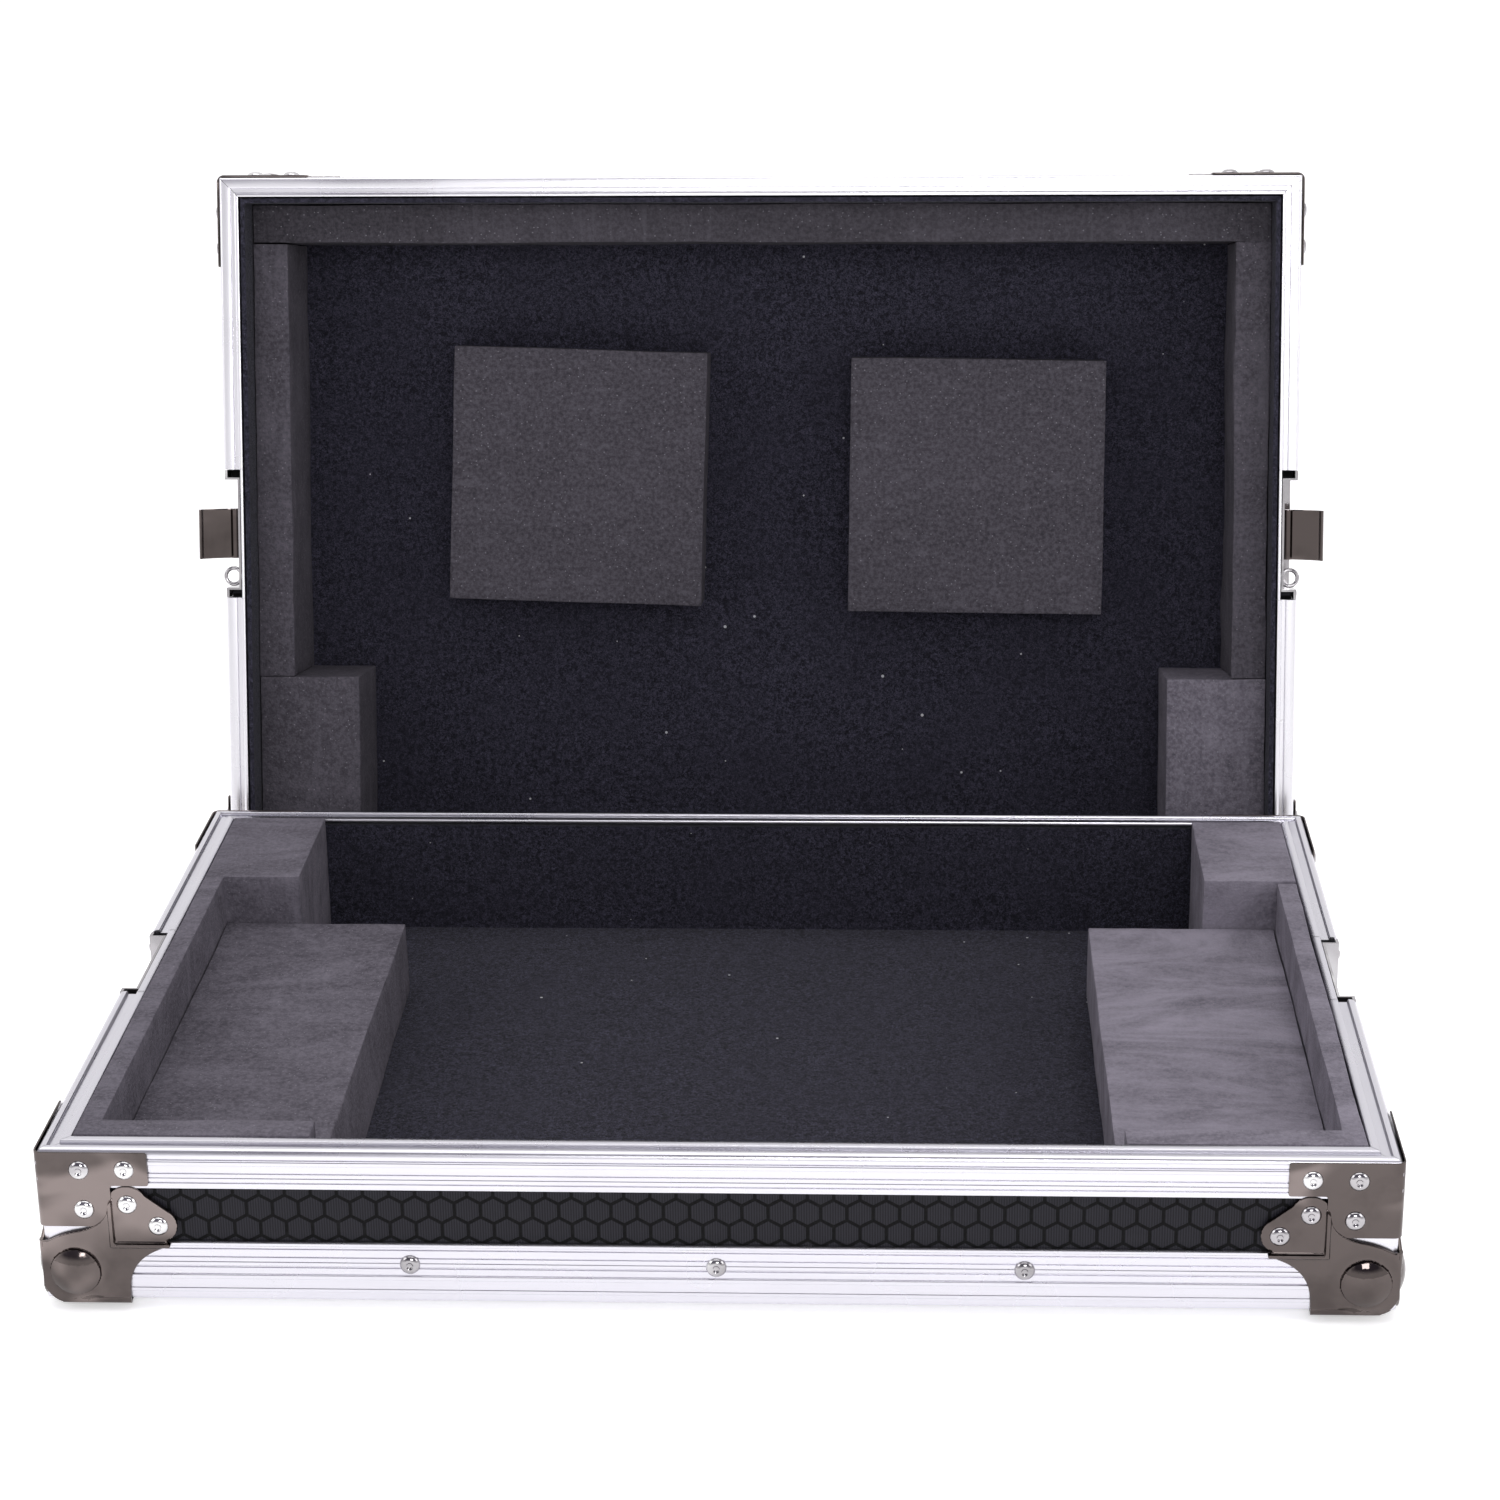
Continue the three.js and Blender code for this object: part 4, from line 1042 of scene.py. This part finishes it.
def make_wing(side_name, sign):
    """The butterfly: two rounded leaves that stand proud of a round boss."""
    bm = bmesh.new()
    outline = []
    for k in range(48):
        angle = 2 * math.pi * k / 48
        reach = 5.0 + 7.8 * abs(math.cos(angle)) ** 1.6
        outline.append((reach * math.cos(angle), min(4.4, max(-4.4, reach * math.sin(angle) * 0.95))))
    rings = []
    for s, grow in ((3.7, 0.94), (3.2, 1.0), (2.7, 1.0), (2.3, 0.93)):
        ring = []
        for y, w in outline:
            lift = 0.9 * (abs(y) / 13) ** 2
            ring.append(bm.verts.new((sign * (-HALF + s - lift * 0.9), MID + y * grow, WING_UP + w * grow)))
        rings.append(ring)
    join_rings(bm, rings)
    for radius, s0, s1 in ((4.0, 3.0, 7.1), (2.6, 1.6, 3.0)):
        bmesh.ops.create_cone(bm, cap_ends=True, segments=28, radius1=radius, radius2=radius, depth=s1 - s0,
                              matrix=Matrix.Translation((sign * (-HALF + (s0 + s1) / 2), MID, WING_UP))
                              @ Matrix.Rotation(math.pi / 2, 4, "Y"))
    node = f"latch_wing_{side_name}"
    piece(f"wing_{side_name}", bm, "lid", CHROME_BRIGHT, body=node, smooth=40, nodes=[node])


def add_ring(bm, centre, axis_u, axis_v, radius, wire, steps=32, sides=10):
    """A ring of round wire."""
    rings = []
    normal = axis_u.cross(axis_v)
    for k in range(steps):
        angle = 2 * math.pi * k / steps
        out = axis_u * math.cos(angle) + axis_v * math.sin(angle)
        middle = centre + out * radius
        rings.append([bm.verts.new(middle + (out * math.cos(2 * math.pi * m / sides)
                                             + normal * math.sin(2 * math.pi * m / sides)) * wire)
                      for m in range(sides)])
    for k in range(steps):
        a, b = rings[k], rings[(k + 1) % steps]
        for m in range(sides):
            bm.faces.new((a[m], a[(m + 1) % sides], b[(m + 1) % sides], b[m]))


for side_name, sign in (("left", 1), ("right", -1)):
    make_hook(side_name, sign)
    make_wing(side_name, sign)
    bm = bmesh.new()
    add_ring(bm, Vector((sign * (-HALF + 4.2), MID + 24.5, 3.2)), Vector((1, 0, 0)), Vector((0, 1, 0)),
             4.6, 1.1)
    piece(f"padlock_eye_{side_name}", bm, "lid", CHROME_BRIGHT, smooth=60)
    for part, sense, rim in (("base", -1, RIM), ("lid", 1, 0.0)):
        bm = bmesh.new()
        for y in (-33.8, 33.8):
            for up in (8.0, 36.0):
                spot = Vector((sign * (-HALF + 0.3), MID + y, rim + sense * up))
                add_rivet(bm, spot, Vector((-sign, 0, 0)), 0.5)
        piece(f"{part}_dish_rivets_{side_name}", bm, part, CHROME_BRIGHT, smooth=50)


GRIP_HALF = 44.5               # half the length of the grip's bar
BAIL_ARM = [(44, 29.5), (50, 29.5), (55.5, 32.5), (56.5, 38), (56.5, 53.0), (50.5, 53.0), (50.5, 39.5),
            (49.0, 37.0), (44, 36.5)]


def make_grip():
    """A bow handle: a ribbed black bar on two arms, with a pin at the end of each."""
    bm = bmesh.new()
    count = 96
    sides = 16
    rings = []
    for i in range(count + 1):
        x = -GRIP_HALF + 2 * GRIP_HALF * i / count
        edge = min(1.0, (GRIP_HALF - abs(x)) / 3.0 + 0.55)
        rib = 1 + 0.05 * math.cos(2 * math.pi * x / 4.0)
        ring = []
        for k in range(sides):
            angle = 2 * math.pi * k / sides
            cu = math.copysign(abs(math.cos(angle)) ** 0.7, math.cos(angle))
            cv = math.copysign(abs(math.sin(angle)) ** 0.7, math.sin(angle))
            ring.append(bm.verts.new((x, 5.6 + 2.9 * cu * edge * rib, 33.0 + 4.8 * cv * edge * rib)))
        rings.append(ring)
    join_rings(bm, rings)
    for sign in (-1, 1):
        add_prism(bm, [(sign * x, z) for x, z in BAIL_ARM], "y", 4.0, 7.6)
        bmesh.ops.create_cone(bm, cap_ends=True, segments=24, radius1=2.3, radius2=2.3, depth=18,
                              matrix=Matrix.Translation((sign * 55.5, 6.0, 51.0))
                              @ Matrix.Rotation(math.pi / 2, 4, "Y"))
    piece("carry_grip", bm, "lid", BLACK, body="handle_grip", smooth=40, nodes=["handle_grip"])


make_grip()


# ------------------------------------------------------------------ floor, light and camera
def stage_plane():
    bpy.ops.mesh.primitive_plane_add(size=14, location=(0, 0, -0.0005))
    floor = bpy.context.object
    floor.name = "floor"
    white = bpy.data.materials.new("floor_white")
    white.use_nodes = True
    shader = white.node_tree.nodes["Principled BSDF"]
    shader.inputs["Base Color"].default_value = (0.93, 0.93, 0.93, 1)
    shader.inputs["Roughness"].default_value = 0.9
    shader.inputs["Emission Color"].default_value = (1, 1, 1, 1)
    shader.inputs["Emission Strength"].default_value = 0.42
    floor.data.materials.append(white)


stage_plane()

world = bpy.data.worlds.new("studio")
bpy.context.scene.world = world
world.use_nodes = True
tree = world.node_tree
back = tree.nodes["Background"]
back.inputs["Strength"].default_value = 1.0
coords = tree.nodes.new("ShaderNodeTexCoord")
split = tree.nodes.new("ShaderNodeSeparateXYZ")


def fade(axis, start, end):
    """0 to 1 as a direction's part along an axis goes from start to end."""
    node = tree.nodes.new("ShaderNodeMapRange")
    node.inputs["From Min"].default_value = start
    node.inputs["From Max"].default_value = end
    tree.links.new(split.outputs[axis], node.inputs["Value"])
    return node.outputs["Result"]


# a white room, dark only above and in front of the case, where the plating reflects it
tree.links.new(coords.outputs["Generated"], split.inputs[0])
dim = tree.nodes.new("ShaderNodeMath")
dim.operation = "MULTIPLY"
tree.links.new(fade("Y", 0.0, -0.35), dim.inputs[0])
tree.links.new(fade("Z", 0.17, 0.36), dim.inputs[1])
blend = tree.nodes.new("ShaderNodeMix")
blend.data_type = "RGBA"
blend.inputs[6].default_value = (1.0, 0.99, 1.0, 1)
blend.inputs[7].default_value = (0.16, 0.15, 0.19, 1)
tree.links.new(dim.outputs[0], blend.inputs["Factor"])
tree.links.new(blend.outputs[2], back.inputs["Color"])


def area_light(name, place, target, size, power):
    data = bpy.data.lights.new(name, "AREA")
    data.shape = "RECTANGLE"
    data.size, data.size_y = size
    data.energy = power
    obj = placed(name, data)
    obj.location = place
    obj.rotation_euler = (Vector(target) - Vector(place)).to_track_quat("-Z", "Y").to_euler()


area_light("overhead", (0.0, -0.2, 2.3), (0, 0, 0), (2.2, 1.6), 15)
area_light("left_soft", (-1.9, -1.0, 1.3), (0, 0, 0.1), (1.0, 1.0), 9)
area_light("right_soft", (1.9, -0.9, 1.2), (0, 0, 0.1), (1.0, 1.0), 8)
area_light("front_key", (0.35, -2.6, 1.5), (0, 0, 0.1), (0.9, 0.7), 20)

camera_data = bpy.data.cameras.new("camera")
camera_data.sensor_width = 36
camera_data.lens = 78.73
camera_data.shift_x = -0.02409
camera_data.shift_y = -0.07095
camera_data.clip_start = 0.05
camera = placed("camera", camera_data)
yaw, pitch, roll = (math.radians(a) for a in (-2.2935, 19.2472, -0.6059))
forward = Vector((math.sin(yaw) * math.cos(pitch), math.cos(yaw) * math.cos(pitch), -math.sin(pitch)))
right = Vector((math.cos(yaw), -math.sin(yaw), 0))
up = right.cross(forward)
right, up = math.cos(roll) * right + math.sin(roll) * up, math.cos(roll) * up - math.sin(roll) * right
facing = Matrix((right, up, -forward)).transposed().to_4x4()
camera.matrix_world = Matrix.Translation((0.08677, -1.61118, 0.77831)) @ facing
bpy.context.scene.camera = camera
bpy.context.scene.view_settings.view_transform = "Standard"
